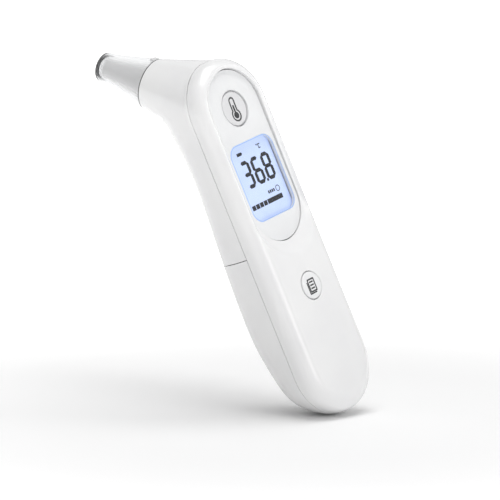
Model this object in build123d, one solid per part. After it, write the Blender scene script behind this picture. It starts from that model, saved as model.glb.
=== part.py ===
from build123d import *

import os
from math import cos, pi, radians, sin, sqrt

# Digital ear thermometer, in millimetres. X runs across the handle, Y from the display towards the
# probe and Z up the handle. Heights below are measured from the lower end of the handle; export
# lowers everything so that the origin is at the hand grip.

# Handle outline, a stadium in the parting plane (Y = 0)
BODY_HALF_WIDTH = 20.0
BODY_LENGTH = 145.4
BODY_TOP_CENTRE = BODY_LENGTH - BODY_HALF_WIDTH
GRIP_HEIGHT = 55.0
WALL = 1.8
PARTING_GAP = 0.12

# Front cover
FRONT_DEPTH = 8.5
FRONT_CROWN_RADIUS = 245.0
FRONT_SHOULDER_RADIUS = 6.0
LIP_THICKNESS = 0.9
LIP_HEIGHT = 0.9
LIP_CLEARANCE = 0.4

# Recess for the inset panel
PANEL_HALF_WIDTH = 15.1
PANEL_FACE = -5.8
PANEL_THICKNESS = 1.6
PANEL_BOTTOM_CENTRE = 85.4
PANEL_CLEARANCE = 0.1
PLATE_BACK = -3.2
BEVEL_WIDTH = 1.7
BEVEL_DROP = 4.6
BEVEL_OUTER_FACE = -8.7
BEVEL_TOP_FACE = -7.4
BEVEL_BOTTOM_FACE = -6.2

# Back cover and battery cover: each level is its height, depth and the power of its superellipse, and
# each neck section its swing angle, distance from the hinge, half width, rise and power
BACK_SECTIONS = (
    (20.0, 21.3, 1.9),
    (28.0, 22.5, 2.25),
    (38.0, 22.9, 2.5),
    (52.0, 22.9, 2.5),
    (68.0, 22.0, 2.5),
    (86.0, 20.3, 2.5),
    (102.0, 19.0, 2.5),
)
NECK_SECTIONS = (
    (14.0, 69.05, 19.9, 0.0, 2.4),
    (20.5, 67.0, 18.6, 4.5, 2.3),
    (27.0, 64.8, 16.7, 8.0, 2.2),
    (38.0, 59.4, 13.1, 10.0, 2.1),
)
DOME_STEP = 0.02
HOOD_DROP = 16.0
HOOD_SIDE_ANGLE = 15.0
UNDERSIDE_RADIUS = 48.0
UNDERSIDE_HEIGHT = 102.0
COVER_JOINT_HEIGHT = 69.5
COVER_JOINT_GAP = 0.25
TONGUE_WIDTH = 8.0
TONGUE_FACE = 18.2
TONGUE_THICKNESS = 1.0
TONGUE_REACH = 3.0
TONGUE_ROOT = 4.0

# Probe: the base circle on the neck and the axis that rises towards the back
PROBE_BASE_Y = 28.2
PROBE_BASE_HEIGHT = 143.8
PROBE_ANGLE = 32.3
PROBE_BASE_RADIUS = 10.6
PROBE_TIP_RADIUS = 6.0
PROBE_LENGTH = 25.9
PROBE_GAP = 0.5
CAP_WALL = 1.2
CAP_CLEARANCE = 0.25
CAP_LAND = 2.2
CAP_OPENING_RADIUS = 4.2
TIP_RING_HEIGHT = 0.9
KEY_WIDTH = 3.2
KEY_LENGTH = 2.0
KEY_GAP = 0.25
SLEEVE_RADIUS = 3.6
CAN_RADIUS = 2.65

# Display
DISPLAY_HEIGHT = 96.0
DISPLAY_WIDTH = 26.5
DISPLAY_LENGTH = 31.2
DISPLAY_CORNER = 5.0
DISPLAY_REBATE = 0.8
DISPLAY_MARGIN = 1.0
LCD_WIDTH = 26.2
LCD_LENGTH = 32.6
LCD_THICKNESS = 1.6
LCD_FACE = -3.9

# Buttons
SCAN_HEIGHT = 124.8
SCAN_RADIUS = 6.8
SCAN_HOLE_RADIUS = 7.4
SCAN_FACE = -5.5
SCAN_DISH = 0.35
MEMORY_HEIGHT = 50.6
MEMORY_RADIUS = 5.45
MEMORY_HOLE_RADIUS = 5.75
MEMORY_FACE = -8.7
FLANGE_WIDTH = 1.2
FLANGE_THICKNESS = 0.6
PLUNGER_FACE = -2.9

# Main board
BOARD_FACE = 0.6
BOARD_THICKNESS = 1.6
BOARD_HALF_WIDTH = 15.5
BOARD_BOTTOM = 43.0
SWITCH_SIZE = 6.0
SWITCH_THICKNESS = 2.5
PLUNGER_RADIUS = 1.75
BOSS_RADIUS = 2.4
SCREW_RADIUS = 0.8
SCREW_HOLE_RADIUS = 0.85
TRAY_SCREWS = ((-13.9, 24.0), (13.9, 24.0), (-13.9, 57.5), (13.9, 57.5))
TRAY_SCREW_LENGTH = 7.0
BOARD_SCREWS = ((0.0, 137.0), (0.0, 72.0))
BOARD_SCREW_LENGTH = 4.2
CONNECTOR_HEIGHT = 116.0

# Batteries, size AAA
CELL_RADIUS = 5.25
CELL_LENGTH = 44.5
CELL_SPACING = 5.5
CELL_AXIS_Y = 10.0
TRAY_FLOOR = 2.9
TRAY_WALL = 1.2
TRAY_HALF_WIDTH = 12.2
TRAY_TOP_Y = 8.6
TRAY_BOTTOM = 10.2
TRAY_LENGTH = 50.5
CONTACT_THICKNESS = 0.4
COIL_TURNS = 3

FACING_BACK = Plane(origin=(0, 0, 0), x_dir=(1, 0, 0), z_dir=(0, -1, 0))
SIDE = Plane(origin=(0, 0, 0), x_dir=(0, 1, 0), z_dir=(1, 0, 0))


def save(name, shape):
    """Lowers a finished piece to the grip's frame and writes it."""
    pieces = [Pos(0, 0, -GRIP_HEIGHT) * piece for piece in shape.solids()]
    export_step(pieces[0] if len(pieces) == 1 else Compound(children=pieces), f"parts/{name}.step")


def box_between(low, high):
    """A box from its lowest corner to its highest."""
    size = [b - a for a, b in zip(low, high)]
    return Pos(*low) * Box(*size, align=(Align.MIN, Align.MIN, Align.MIN))


def rod(radius, height, y_low, y_high, across=0.0):
    """A round rod along Y at a height on the handle."""
    length = y_high - y_low
    return Pos(across, (y_low + y_high) / 2, height) * Rot(90, 0, 0) * Cylinder(radius, length)


def stadium(half_width, low_centre, top_centre, y_low, y_high):
    """A stadium-shaped block between two arc centres, from y_low to y_high."""
    straight = box_between((-half_width, y_low, low_centre), (half_width, y_high, top_centre))
    ends = [rod(half_width, height, y_low, y_high) for height in (low_centre, top_centre)]
    return straight + ends[0] + ends[1]


def rounded_block(width, length, corner, height, y_low, y_high):
    """A rectangle with round corners, facing the front, from y_low to y_high."""
    face = FACING_BACK.offset(-y_high) * Pos(0, height) * RectangleRounded(width, length, corner)
    return extrude(face, y_high - y_low, dir=(0, -1, 0))


def above(y_limit):
    """Everything behind a plane parallel to the parting plane."""
    return box_between((-60, y_limit, -60), (60, 160, 220))


# Outer forms, made smaller by an inset for the inner surfaces


def front_profile(inset):
    """Half section of the front: flat side, round shoulder and a slightly crowned face."""
    width = BODY_HALF_WIDTH - inset
    depth = FRONT_DEPTH - inset
    crown = FRONT_CROWN_RADIUS - inset
    shoulder = FRONT_SHOULDER_RADIUS - inset
    centre_x = width - shoulder
    centre_y = crown - depth - sqrt((crown - shoulder) ** 2 - centre_x**2)
    reach = crown / (crown - shoulder)
    crown_centre = crown - depth
    join = (centre_x * reach, crown_centre + (centre_y - crown_centre) * reach)
    turn = pi / 4
    bend = (centre_x + shoulder * cos(turn), centre_y - shoulder * sin(turn))
    middle_x = join[0] / 2
    middle = (middle_x, crown_centre - sqrt(crown**2 - middle_x**2))
    outline = (
        Line((0, 0), (width, 0))
        + Line((width, 0), (width, centre_y))
        + ThreePointArc((width, centre_y), bend, join)
        + ThreePointArc(join, middle, (0, -depth))
        + Line((0, -depth), (0, 0))
    )
    return make_face(outline)


def front_form(inset):
    """The whole front half: straight middle and two turned ends."""
    half = front_profile(inset)
    whole = half + mirror(half, about=Plane.YZ)
    low = BODY_HALF_WIDTH
    middle = extrude(Pos(0, 0, low) * whole, BODY_TOP_CENTRE - low)
    end = revolve(half, Axis.Y, 360)
    return middle + Pos(0, 0, low) * end + Pos(0, 0, BODY_TOP_CENTRE) * end


def quarter_points(half_width, depth, power, steps=12):
    """Points of a quarter superellipse from the side (half_width, 0) to the back (0, depth)."""
    angles = [pi / 2 * step / steps for step in range(steps)]
    points = [(half_width * cos(a) ** (2 / power), depth * sin(a) ** (2 / power)) for a in angles]
    return points + [(0, depth)]


def section(plane, half_width, lower, upper, power):
    """A closed section on a plane: a superellipse towards the back, a line or arc towards the front."""
    points = quarter_points(half_width, lower, power)
    right = Spline(*points, tangents=[(0, 1), (-1, 0)])
    left = Spline(*[(-x, y) for x, y in points[::-1]], tangents=[(-1, 0), (0, -1)])
    if upper:
        front = ThreePointArc((-half_width, 0), (0, -upper), (half_width, 0))
    else:
        front = Line((-half_width, 0), (half_width, 0))
    return plane * make_face(right + left + front)


def round_outline(plane, points, bulge):
    """A closed outline of four edges through four corners, each edge an arc or, where bulge is 0, a line."""
    edges = []
    for step in range(4):
        start, end = points[step], points[(step + 1) % 4]
        middle = bulge[step]
        edges.append(ThreePointArc(start, middle, end) if middle else Line(start, end))
    return plane * make_face(edges[0] + edges[1] + edges[2] + edges[3])


def swung_plane(angle, distance):
    """A section plane swung about the centre of the underside's arc."""
    hinge_y = BACK_SECTIONS[-1][1] + UNDERSIDE_RADIUS
    a = radians(angle)
    origin = (0, hinge_y - distance * cos(a), UNDERSIDE_HEIGHT + distance * sin(a))
    return Plane(origin=origin, x_dir=(1, 0, 0), z_dir=(0, sin(a), cos(a)))


def probe_plane(distance=0.0):
    """A plane across the probe, at a distance from its base circle, facing the tip."""
    a = radians(PROBE_ANGLE)
    origin = (0, PROBE_BASE_Y + distance * cos(a), PROBE_BASE_HEIGHT + distance * sin(a))
    return Plane(origin=origin, x_dir=(1, 0, 0), z_dir=(0, cos(a), sin(a)))


def back_forms(inset):
    """The back half in three pieces: handle with its round lower end, underside of the neck and hood."""
    half_width = BODY_HALF_WIDTH - inset
    levels = []
    for height, depth, power in BACK_SECTIONS:
        level = Plane(origin=(0, 0, height), x_dir=(1, 0, 0), z_dir=(0, 0, 1))
        levels.append(section(level, half_width, depth - inset, 0, power))
    swings = [levels[-1]]
    for angle, distance, width, upper, power in NECK_SECTIONS:
        lower = distance - UNDERSIDE_RADIUS - inset
        plane = swung_plane(angle, distance)
        swings.append(section(plane, width - inset, lower, max(upper - inset, 0), power))
    end = PROBE_BASE_RADIUS - 0.02 - inset
    swings.append(section(probe_plane(), end, end, end, 2.0))
    limits = box_between((-half_width, 0, 0), (half_width, 160, 220))
    underside = loft(Sketch() + swings) & limits
    head = Plane(origin=(0, 0, BODY_TOP_CENTRE), x_dir=(1, 0, 0), z_dir=(0, 1, 0))
    corners = [(-half_width, 0), (half_width, 0), (half_width, HOOD_DROP), (-half_width, HOOD_DROP)]
    base = round_outline(head, corners, [(0, -half_width), None, (0, HOOD_DROP + half_width), None])
    radius = PROBE_BASE_RADIUS - inset
    turn = radians(HOOD_SIDE_ANGLE)
    wide = radius * cos(turn)
    high = radius * sin(turn)
    corners = [(-wide, -high), (wide, -high), (wide, high), (-wide, high)]
    top = round_outline(probe_plane(), corners, [(0, -radius), (radius, 0), (0, radius), (-radius, 0)])
    hood = loft(Sketch() + [base, top])
    radius = half_width - DOME_STEP
    depth = BACK_SECTIONS[0][1] - inset - DOME_STEP
    sides = Line((radius, 0), (0, 0)) + Line((0, 0), (0, depth))
    curve = Spline(*quarter_points(radius, depth, BACK_SECTIONS[0][2]), tangents=[(0, 1), (-1, 0)])
    dome = Pos(0, 0, BODY_HALF_WIDTH) * revolve(make_face(sides + curve), Axis.Y, 360)
    return [loft(Sketch() + levels) + dome, underside, hood]


def front_cover():
    """The front shell with its recess, ledge, button hole, locating lip and screw bosses."""
    shell = front_form(0) - front_form(WALL)
    shell -= above(-PARTING_GAP)
    low = BODY_HALF_WIDTH
    inner = BODY_HALF_WIDTH - WALL
    lip_outer = inner - LIP_CLEARANCE
    lip_inner = lip_outer - LIP_THICKNESS
    root = stadium(inner + 0.3, low, BODY_TOP_CENTRE, -2.6, -1.2)
    tongue = stadium(lip_outer, low, BODY_TOP_CENTRE, -1.2, LIP_HEIGHT)
    hollow = stadium(lip_inner, low, BODY_TOP_CENTRE, -3.0, LIP_HEIGHT + 1)
    shell += (root + tongue) - hollow
    pad = stadium(PANEL_HALF_WIDTH + WALL, PANEL_BOTTOM_CENTRE - 2, BODY_TOP_CENTRE, -7.0, PLATE_BACK)
    shell += pad & front_form(0.5)
    shell -= panel_bevel()
    pocket_back = PANEL_FACE + PANEL_THICKNESS
    shell -= stadium(PANEL_HALF_WIDTH, PANEL_BOTTOM_CENTRE, BODY_TOP_CENTRE, -12, pocket_back)
    shell -= rod(SCAN_RADIUS + FLANGE_WIDTH + 0.3, SCAN_HEIGHT, -12, PLATE_BACK + 1)
    shell -= rounded_block(LCD_WIDTH + 0.4, LCD_LENGTH + 0.4, 0.5, DISPLAY_HEIGHT, -12, PLATE_BACK + 1)
    for across, height in TRAY_SCREWS:
        shell += rod(BOSS_RADIUS, height, WALL - FRONT_DEPTH - 0.2, TRAY_FLOOR, across)
        shell -= rod(SCREW_HOLE_RADIUS, height, TRAY_FLOOR - TRAY_SCREW_LENGTH, TRAY_FLOOR + 1, across)
    for across, height in BOARD_SCREWS:
        shell += rod(BOSS_RADIUS, height, PLATE_BACK - 0.8, BOARD_FACE, across)
        shell -= rod(SCREW_HOLE_RADIUS, height, BOARD_FACE - BOARD_SCREW_LENGTH + 1, BOARD_FACE + 1, across)
    return shell - rod(MEMORY_HOLE_RADIUS, MEMORY_HEIGHT, -12, -5)


def panel_bevel():
    """The sloping edge round the recess, wide and shallow below the panel."""
    outer_plane = FACING_BACK.offset(-BEVEL_OUTER_FACE)
    outer_half = PANEL_HALF_WIDTH + BEVEL_WIDTH
    low = PANEL_BOTTOM_CENTRE - BEVEL_DROP
    outer = outer_plane * stadium_face(outer_half, low, BODY_TOP_CENTRE)
    top = BODY_TOP_CENTRE + PANEL_HALF_WIDTH
    bottom = PANEL_BOTTOM_CENTRE - PANEL_HALF_WIDTH
    slope = (BEVEL_BOTTOM_FACE - BEVEL_TOP_FACE) / (top - bottom)
    middle = (top + bottom) / 2
    centre = (0, (BEVEL_TOP_FACE + BEVEL_BOTTOM_FACE) / 2, middle)
    tilted = Plane(origin=centre, x_dir=(1, 0, 0), z_dir=(0, -1, -slope))
    inner = tilted * stadium_face(PANEL_HALF_WIDTH, PANEL_BOTTOM_CENTRE - middle, BODY_TOP_CENTRE - middle)
    return loft(Sketch() + [outer, inner], ruled=True)


def stadium_face(half_width, low_centre, top_centre):
    """A stadium outline as a face, between two arc centres."""
    left = Line((-half_width, top_centre), (-half_width, low_centre))
    bottom = ThreePointArc((-half_width, low_centre), (0, low_centre - half_width), (half_width, low_centre))
    right = Line((half_width, low_centre), (half_width, top_centre))
    top = ThreePointArc((half_width, top_centre), (0, top_centre + half_width), (-half_width, top_centre))
    return make_face(left + bottom + right + top)


def inset_panel():
    """The flat panel round the scan button and the display."""
    half = PANEL_HALF_WIDTH - PANEL_CLEARANCE
    back = PANEL_FACE + PANEL_THICKNESS
    plate = stadium(half, PANEL_BOTTOM_CENTRE, BODY_TOP_CENTRE, PANEL_FACE, back)
    plate -= rod(SCAN_HOLE_RADIUS, SCAN_HEIGHT, -12, 0)
    rebate_back = PANEL_FACE + DISPLAY_REBATE
    plate -= rounded_block(DISPLAY_WIDTH, DISPLAY_LENGTH, DISPLAY_CORNER, DISPLAY_HEIGHT, -12, rebate_back)
    width = DISPLAY_WIDTH - 2 * DISPLAY_MARGIN
    length = DISPLAY_LENGTH - 2 * DISPLAY_MARGIN
    return plate - rounded_block(width, length, DISPLAY_CORNER - DISPLAY_MARGIN, DISPLAY_HEIGHT, -12, 0)


def display_window():
    """The clear window glued into the panel's rebate."""
    gap = 2 * PANEL_CLEARANCE
    front = PANEL_FACE + 0.15
    back = PANEL_FACE + DISPLAY_REBATE
    corner = DISPLAY_CORNER - PANEL_CLEARANCE
    return rounded_block(DISPLAY_WIDTH - gap, DISPLAY_LENGTH - gap, corner, DISPLAY_HEIGHT, front, back)


def lcd_glass():
    """Two glass plates, the front one shorter so that the contact ledges stay bare."""
    middle = LCD_FACE + LCD_THICKNESS / 2
    front = rounded_block(LCD_WIDTH, LCD_LENGTH - 3, 0.3, DISPLAY_HEIGHT, LCD_FACE, middle)
    return front + rounded_block(LCD_WIDTH, LCD_LENGTH, 0.3, DISPLAY_HEIGHT, middle, LCD_FACE + LCD_THICKNESS)


def backlight():
    """The light guide behind the glass."""
    front = LCD_FACE + LCD_THICKNESS + 0.05
    width = LCD_WIDTH - 2.0
    return rounded_block(width, LCD_LENGTH - 6.2, 0.5, DISPLAY_HEIGHT, front, BOARD_FACE - 0.1)


def lcd_holder():
    """The frame that carries the glass and the light guide on the board."""
    front = PLATE_BACK + 0.1
    outer = rounded_block(LCD_WIDTH + 2.2, LCD_LENGTH + 2.4, 1.0, DISPLAY_HEIGHT, front, BOARD_FACE)
    glass_back = LCD_FACE + LCD_THICKNESS
    outer -= rounded_block(LCD_WIDTH + 0.2, LCD_LENGTH + 0.2, 0.3, DISPLAY_HEIGHT, front - 1, glass_back)
    inner = rounded_block(LCD_WIDTH - 1.8, LCD_LENGTH - 6.0, 0.5, DISPLAY_HEIGHT, front - 1, BOARD_FACE + 1)
    for side in (-1, 1):
        height = DISPLAY_HEIGHT + side * (LCD_LENGTH / 2 - 1.2)
        inner += rounded_block(LCD_WIDTH - 2.0, 1.5, 0.2, height, front - 1, BOARD_FACE + 1)
    return outer - inner


def contact_strips():
    """The two striped rubber strips that join the glass to the board."""
    front = LCD_FACE + LCD_THICKNESS
    strips = [
        rounded_block(LCD_WIDTH - 2.4, 1.2, 0.1, DISPLAY_HEIGHT + side * (LCD_LENGTH / 2 - 1.2), front, BOARD_FACE)
        for side in (-1, 1)
    ]
    return strips[0] + strips[1]


def scan_button():
    """The dished scan button with its retaining flange and the boss that presses the switch."""
    flange_front = PANEL_FACE + PANEL_THICKNESS + 0.1
    cap = rod(SCAN_RADIUS, SCAN_HEIGHT, SCAN_FACE, flange_front)
    dish_radius = (SCAN_RADIUS - 0.8) ** 2 / (2 * SCAN_DISH) + SCAN_DISH / 2
    dish = Pos(0, SCAN_FACE - dish_radius + SCAN_DISH, SCAN_HEIGHT) * Sphere(dish_radius)
    flange = rod(SCAN_RADIUS + FLANGE_WIDTH, SCAN_HEIGHT, flange_front, flange_front + FLANGE_THICKNESS)
    boss = rod(2.0, SCAN_HEIGHT, flange_front, PLUNGER_FACE)
    return (cap - dish) + flange + boss


def memory_button():
    """The small lower button, slightly proud of the front cover."""
    flange_front = WALL - FRONT_DEPTH + 0.2
    edge = 0.4
    outline = Polyline(
        (0, flange_front),
        (MEMORY_RADIUS, flange_front),
        (MEMORY_RADIUS, MEMORY_FACE + edge),
        (MEMORY_RADIUS - edge, MEMORY_FACE),
        (0, MEMORY_FACE),
        close=True,
    )
    cap = Pos(0, 0, MEMORY_HEIGHT) * revolve(make_face(outline), Axis.Y, 360)
    flange_radius = MEMORY_RADIUS + FLANGE_WIDTH
    flange = rod(flange_radius, MEMORY_HEIGHT, flange_front, flange_front + FLANGE_THICKNESS)
    boss = rod(2.0, MEMORY_HEIGHT, flange_front, PLUNGER_FACE)
    return cap + flange + boss


def switch(height):
    """A tactile switch: square body with a round well for its plunger."""
    half = SWITCH_SIZE / 2
    front = BOARD_FACE - SWITCH_THICKNESS
    body = box_between((-half, front, height - half), (half, BOARD_FACE, height + half))
    return body - rod(PLUNGER_RADIUS + 0.05, height, front - 1, BOARD_FACE - 0.5)


def plunger(height):
    """The switch's plunger, level with the button's boss."""
    return rod(PLUNGER_RADIUS, height, PLUNGER_FACE, PLUNGER_FACE + 2.0)


def main_board():
    """The circuit board, rounded at the top like the case."""
    back = BOARD_FACE + BOARD_THICKNESS
    plate = stadium(BOARD_HALF_WIDTH, 80, BODY_TOP_CENTRE, BOARD_FACE, back)
    plate += box_between((-BOARD_HALF_WIDTH, BOARD_FACE, BOARD_BOTTOM), (BOARD_HALF_WIDTH, back, 80))
    for across, height in BOARD_SCREWS:
        plate -= rod(1.1, height, BOARD_FACE - 1, back + 1, across)
    for across, height in TRAY_SCREWS:
        plate -= rod(BOSS_RADIUS + 0.3, height, BOARD_FACE - 1, back + 1, across)
    return plate


def on_board(width, length, thickness, across, height):
    """A square component on the board's rear face."""
    face = BOARD_FACE + BOARD_THICKNESS
    low = (across - width / 2, face, height - length / 2)
    return box_between(low, (across + width / 2, face + thickness, height + length / 2))


def processor():
    """The processor package with its rows of leads."""
    body = on_board(7.0, 7.0, 1.4, -6.5, 108.0)
    for step in range(8):
        offset = (step - 3.5) * 0.8
        body += on_board(9.0, 0.3, 0.3, -6.5, 108.0 + offset)
        body += on_board(0.3, 9.0, 0.3, -6.5 + offset, 108.0)
    return body


def buzzer():
    """The round sounder with the hole in its lid."""
    face = BOARD_FACE + BOARD_THICKNESS
    can = rod(5.6, 88.0, face, face + 4.2, 5.5)
    return can - rod(1.0, 88.0, face + 3.2, face + 5, 5.5)


def screws(places, seat, length):
    """Pan-head screws with a cross recess, driven in from the back."""
    group = []
    for across, height in places:
        head = rod(1.7, height, seat, seat + 1.1, across)
        for turn in (0, 90):
            slot = Pos(across, seat + 0.8, height) * Rot(0, turn, 0) * Box(2.0, 0.8, 0.45)
            head -= slot
        group.append(head + rod(SCREW_RADIUS, height, seat - length, seat, across))
    return Compound(children=group)


def back_shell():
    """The whole back shell, before it is split into the back cover and the battery cover."""
    handle, underside, hood = back_forms(0)
    shell = handle + underside + hood
    for inner in back_forms(WALL):
        shell -= inner
    shell &= above(PARTING_GAP)
    mouth = probe_plane(-14) * Circle(PROBE_BASE_RADIUS - WALL)
    return shell - extrude(mouth, 20)


def back_cover(shell):
    """The upper back shell with the neck."""
    joint = COVER_JOINT_HEIGHT + COVER_JOINT_GAP / 2
    return shell & box_between((-60, 0, joint), (60, 120, 220))


def battery_cover(shell):
    """The lower back shell with the tongue that slides under the back cover."""
    joint = COVER_JOINT_HEIGHT - COVER_JOINT_GAP / 2
    cover = shell & box_between((-60, 0, -60), (60, 120, joint))
    low = (-TONGUE_WIDTH / 2, TONGUE_FACE, joint - TONGUE_ROOT)
    tongue = box_between(low, (TONGUE_WIDTH / 2, TONGUE_FACE + TONGUE_THICKNESS, joint + TONGUE_REACH))
    rib_low = (-TONGUE_WIDTH / 2, TONGUE_FACE, joint - TONGUE_ROOT)
    rib = box_between(rib_low, (TONGUE_WIDTH / 2, 24, joint - 1.0)) & back_forms(WALL / 2)[0]
    return cover + tongue + rib


def battery_tray():
    """The open tub that holds the two cells and closes the case behind them."""
    top = TRAY_BOTTOM + TRAY_LENGTH
    low = (-TRAY_HALF_WIDTH, TRAY_FLOOR, TRAY_BOTTOM)
    tub = box_between(low, (TRAY_HALF_WIDTH, TRAY_TOP_Y, top))
    half = TRAY_HALF_WIDTH - TRAY_WALL
    inner_low = (-half, TRAY_FLOOR + TRAY_WALL, TRAY_BOTTOM + TRAY_WALL)
    tub -= box_between(inner_low, (half, TRAY_TOP_Y + 1, top - TRAY_WALL))
    for across, height in TRAY_SCREWS:
        tub += rod(3.2, height, TRAY_FLOOR, TRAY_FLOOR + TRAY_WALL, across)
        tub -= rod(1.1, height, TRAY_FLOOR - 1, TRAY_FLOOR + 3, across)
    return tub


def cell_middle(upright):
    """The middle height of a cell whose positive end rests on its contact plate."""
    if upright:
        return TRAY_BOTTOM + TRAY_LENGTH - TRAY_WALL - CONTACT_THICKNESS - CELL_LENGTH / 2
    return TRAY_BOTTOM + TRAY_WALL + CONTACT_THICKNESS + CELL_LENGTH / 2


def cell(across, upright):
    """An AAA cell with its raised positive end."""
    middle = cell_middle(upright)
    side = 1 if upright else -1
    nub = 0.8
    body = Pos(across, CELL_AXIS_Y, middle - side * nub / 2) * Cylinder(CELL_RADIUS, CELL_LENGTH - nub)
    return body + Pos(across, CELL_AXIS_Y, middle + side * (CELL_LENGTH - nub) / 2) * Cylinder(1.9, nub)


def contact_plates():
    """Flat sprung plates at the positive ends."""
    plates = []
    for across, upright in ((-CELL_SPACING, True), (CELL_SPACING, False)):
        side = 1 if upright else -1
        height = cell_middle(upright) + side * (CELL_LENGTH + CONTACT_THICKNESS) / 2
        low = (across - 4, TRAY_FLOOR + TRAY_WALL + 0.6, height - CONTACT_THICKNESS / 2)
        plates.append(box_between(low, (across + 4, TRAY_TOP_Y + 4.2, height + CONTACT_THICKNESS / 2)))
    return Compound(children=plates)


def contact_springs():
    """Conical coil springs at the negative ends, each drawn as stepped turns on a base plate."""
    springs = []
    for across, upright in ((-CELL_SPACING, True), (CELL_SPACING, False)):
        side = 1 if upright else -1
        wall = TRAY_BOTTOM + (TRAY_WALL if upright else TRAY_LENGTH - TRAY_WALL)
        end = cell_middle(upright) - side * CELL_LENGTH / 2
        pitch = (abs(end - wall) - CONTACT_THICKNESS) / COIL_TURNS
        coil = Pos(across, CELL_AXIS_Y, wall + side * CONTACT_THICKNESS / 2) * Cylinder(3.7, CONTACT_THICKNESS)
        for turn in range(COIL_TURNS):
            height = wall + side * (CONTACT_THICKNESS + pitch * (turn + 0.5))
            radius = 3.2 - 0.35 * turn
            coil += Pos(across, CELL_AXIS_Y, height) * (Cylinder(radius + 0.3, pitch) - Cylinder(radius - 0.3, pitch))
        springs.append(coil)
    return Compound(children=springs)


# Probe pieces, turned about the probe's axis


def turned(points):
    """A body turned about the probe's axis from (distance, radius) points of a closed outline."""
    plane = Plane(origin=probe_plane().origin, x_dir=probe_plane().z_dir, z_dir=(1, 0, 0))
    face = plane * make_face(Polyline(*points, close=True))
    return revolve(face, Axis(plane.origin, plane.x_dir), 360)


def probe_radius(distance):
    """The cap's outer radius: a gently hollow cone that ends in a short parallel land."""
    land_start = PROBE_LENGTH - CAP_LAND
    share = max(0.0, (land_start - distance) / (land_start - PROBE_GAP))
    return PROBE_TIP_RADIUS + (PROBE_BASE_RADIUS - 0.05 - PROBE_TIP_RADIUS) * share**1.18


def cone_outline(start, end, inset, steps=7):
    """Points along the cone, a constant inset below its surface."""
    distances = [start + (end - start) * step / steps for step in range(steps + 1)]
    return [(distance, probe_radius(distance) - inset) for distance in distances]


def key_block(gap):
    """The locating key on top of the neck, or its notch when given a gap."""
    top = probe_plane()
    width = KEY_WIDTH + 2 * gap
    length = KEY_LENGTH + gap
    sketch = top * Pos(0, -PROBE_BASE_RADIUS) * Rectangle(width, 6)
    return extrude(sketch, PROBE_GAP + length)


def probe_cap():
    """The clear hard cap that snaps over the probe."""
    body_end = PROBE_LENGTH - TIP_RING_HEIGHT
    outline = cone_outline(PROBE_GAP, PROBE_LENGTH - CAP_LAND, 0)
    outline += [(body_end, PROBE_TIP_RADIUS), (body_end, CAP_OPENING_RADIUS)]
    outline += [(body_end - CAP_WALL, CAP_OPENING_RADIUS), (body_end - CAP_WALL, PROBE_TIP_RADIUS - CAP_WALL)]
    outline += cone_outline(PROBE_GAP, PROBE_LENGTH - CAP_LAND, CAP_WALL)[::-1]
    return turned(outline) - key_block(KEY_GAP)


def tip_ring():
    """The soft dark ring bonded to the end of the cap."""
    start = PROBE_LENGTH - TIP_RING_HEIGHT
    edge = 0.45
    outline = [(start, CAP_OPENING_RADIUS), (start, PROBE_TIP_RADIUS - 0.05)]
    outline += [(PROBE_LENGTH - edge, PROBE_TIP_RADIUS - 0.05)]
    outline += [(PROBE_LENGTH - edge * 0.3, PROBE_TIP_RADIUS - 0.05 - edge * 0.3)]
    outline += [(PROBE_LENGTH, PROBE_TIP_RADIUS - 0.05 - edge), (PROBE_LENGTH, CAP_OPENING_RADIUS)]
    return turned(outline)


def cap_film():
    """The thin film across the end of the cap."""
    start = PROBE_LENGTH - 0.6
    return turned([(start, 0), (start, CAP_OPENING_RADIUS), (start + 0.1, CAP_OPENING_RADIUS), (start + 0.1, 0)])


def probe_nozzle():
    """The grey inner cone with its collar inside the neck and the locating key."""
    inset = CAP_WALL + CAP_CLEARANCE
    end = PROBE_LENGTH - TIP_RING_HEIGHT - CAP_WALL - 0.4
    collar = PROBE_BASE_RADIUS - WALL - 0.1
    outline = [(-8.0, collar - 1.4), (-8.0, collar), (0.02, collar), (0.02, probe_radius(PROBE_GAP) - inset)]
    outline += cone_outline(PROBE_GAP, end, inset)
    bore = SLEEVE_RADIUS + 0.02
    outline += [(end, bore)]
    hollow = cone_outline(PROBE_GAP, end - 1.2, inset + 1.3)[::-1]
    outline += [(distance, max(radius, bore)) for distance, radius in hollow]
    nozzle = turned(outline)
    key = key_block(0) & turned(
        [(PROBE_GAP - 0.45, 6), (PROBE_GAP - 0.45, probe_radius(0.5)), (3.0, probe_radius(3.0)), (3.0, 6)]
    )
    return nozzle + key


def probe_seal():
    """The dark rubber ring in the gap between the neck and the cap."""
    inner = probe_radius(0.5) - CAP_WALL - CAP_CLEARANCE
    seal = turned([(0.02, inner), (0.02, PROBE_BASE_RADIUS - 0.5), (0.46, PROBE_BASE_RADIUS - 0.5), (0.46, inner)])
    return seal - key_block(0.02)


def sensor_sleeve():
    """The metal sleeve that carries the sensor in the tip."""
    end = PROBE_LENGTH - TIP_RING_HEIGHT - CAP_WALL - 0.4
    return turned([(8.0, CAN_RADIUS + 0.05), (8.0, SLEEVE_RADIUS), (end, SLEEVE_RADIUS), (end, CAN_RADIUS + 0.05)])


def thermopile():
    """The sensor can with its flange and four leads."""
    can = turned([(14.0, 0), (14.0, CAN_RADIUS), (17.4, CAN_RADIUS), (17.4, 0)])
    for turn in range(4):
        angle = pi / 4 + turn * pi / 2
        across = 1.25 * cos(angle)
        up = 1.25 * sin(angle)
        can += extrude(probe_plane(7.0) * Pos(across, up) * Circle(0.22), 7.1)
    return can


def waveguide():
    """The polished tube that leads the heat rays to the sensor."""
    return turned([(17.5, 1.7), (17.5, CAN_RADIUS), (21.4, CAN_RADIUS), (21.4, 1.7)])


def sensor_window():
    """The dark window that closes the waveguide."""
    return turned([(21.5, 0), (21.5, CAN_RADIUS), (22.0, CAN_RADIUS), (22.0, 0)])


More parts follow.
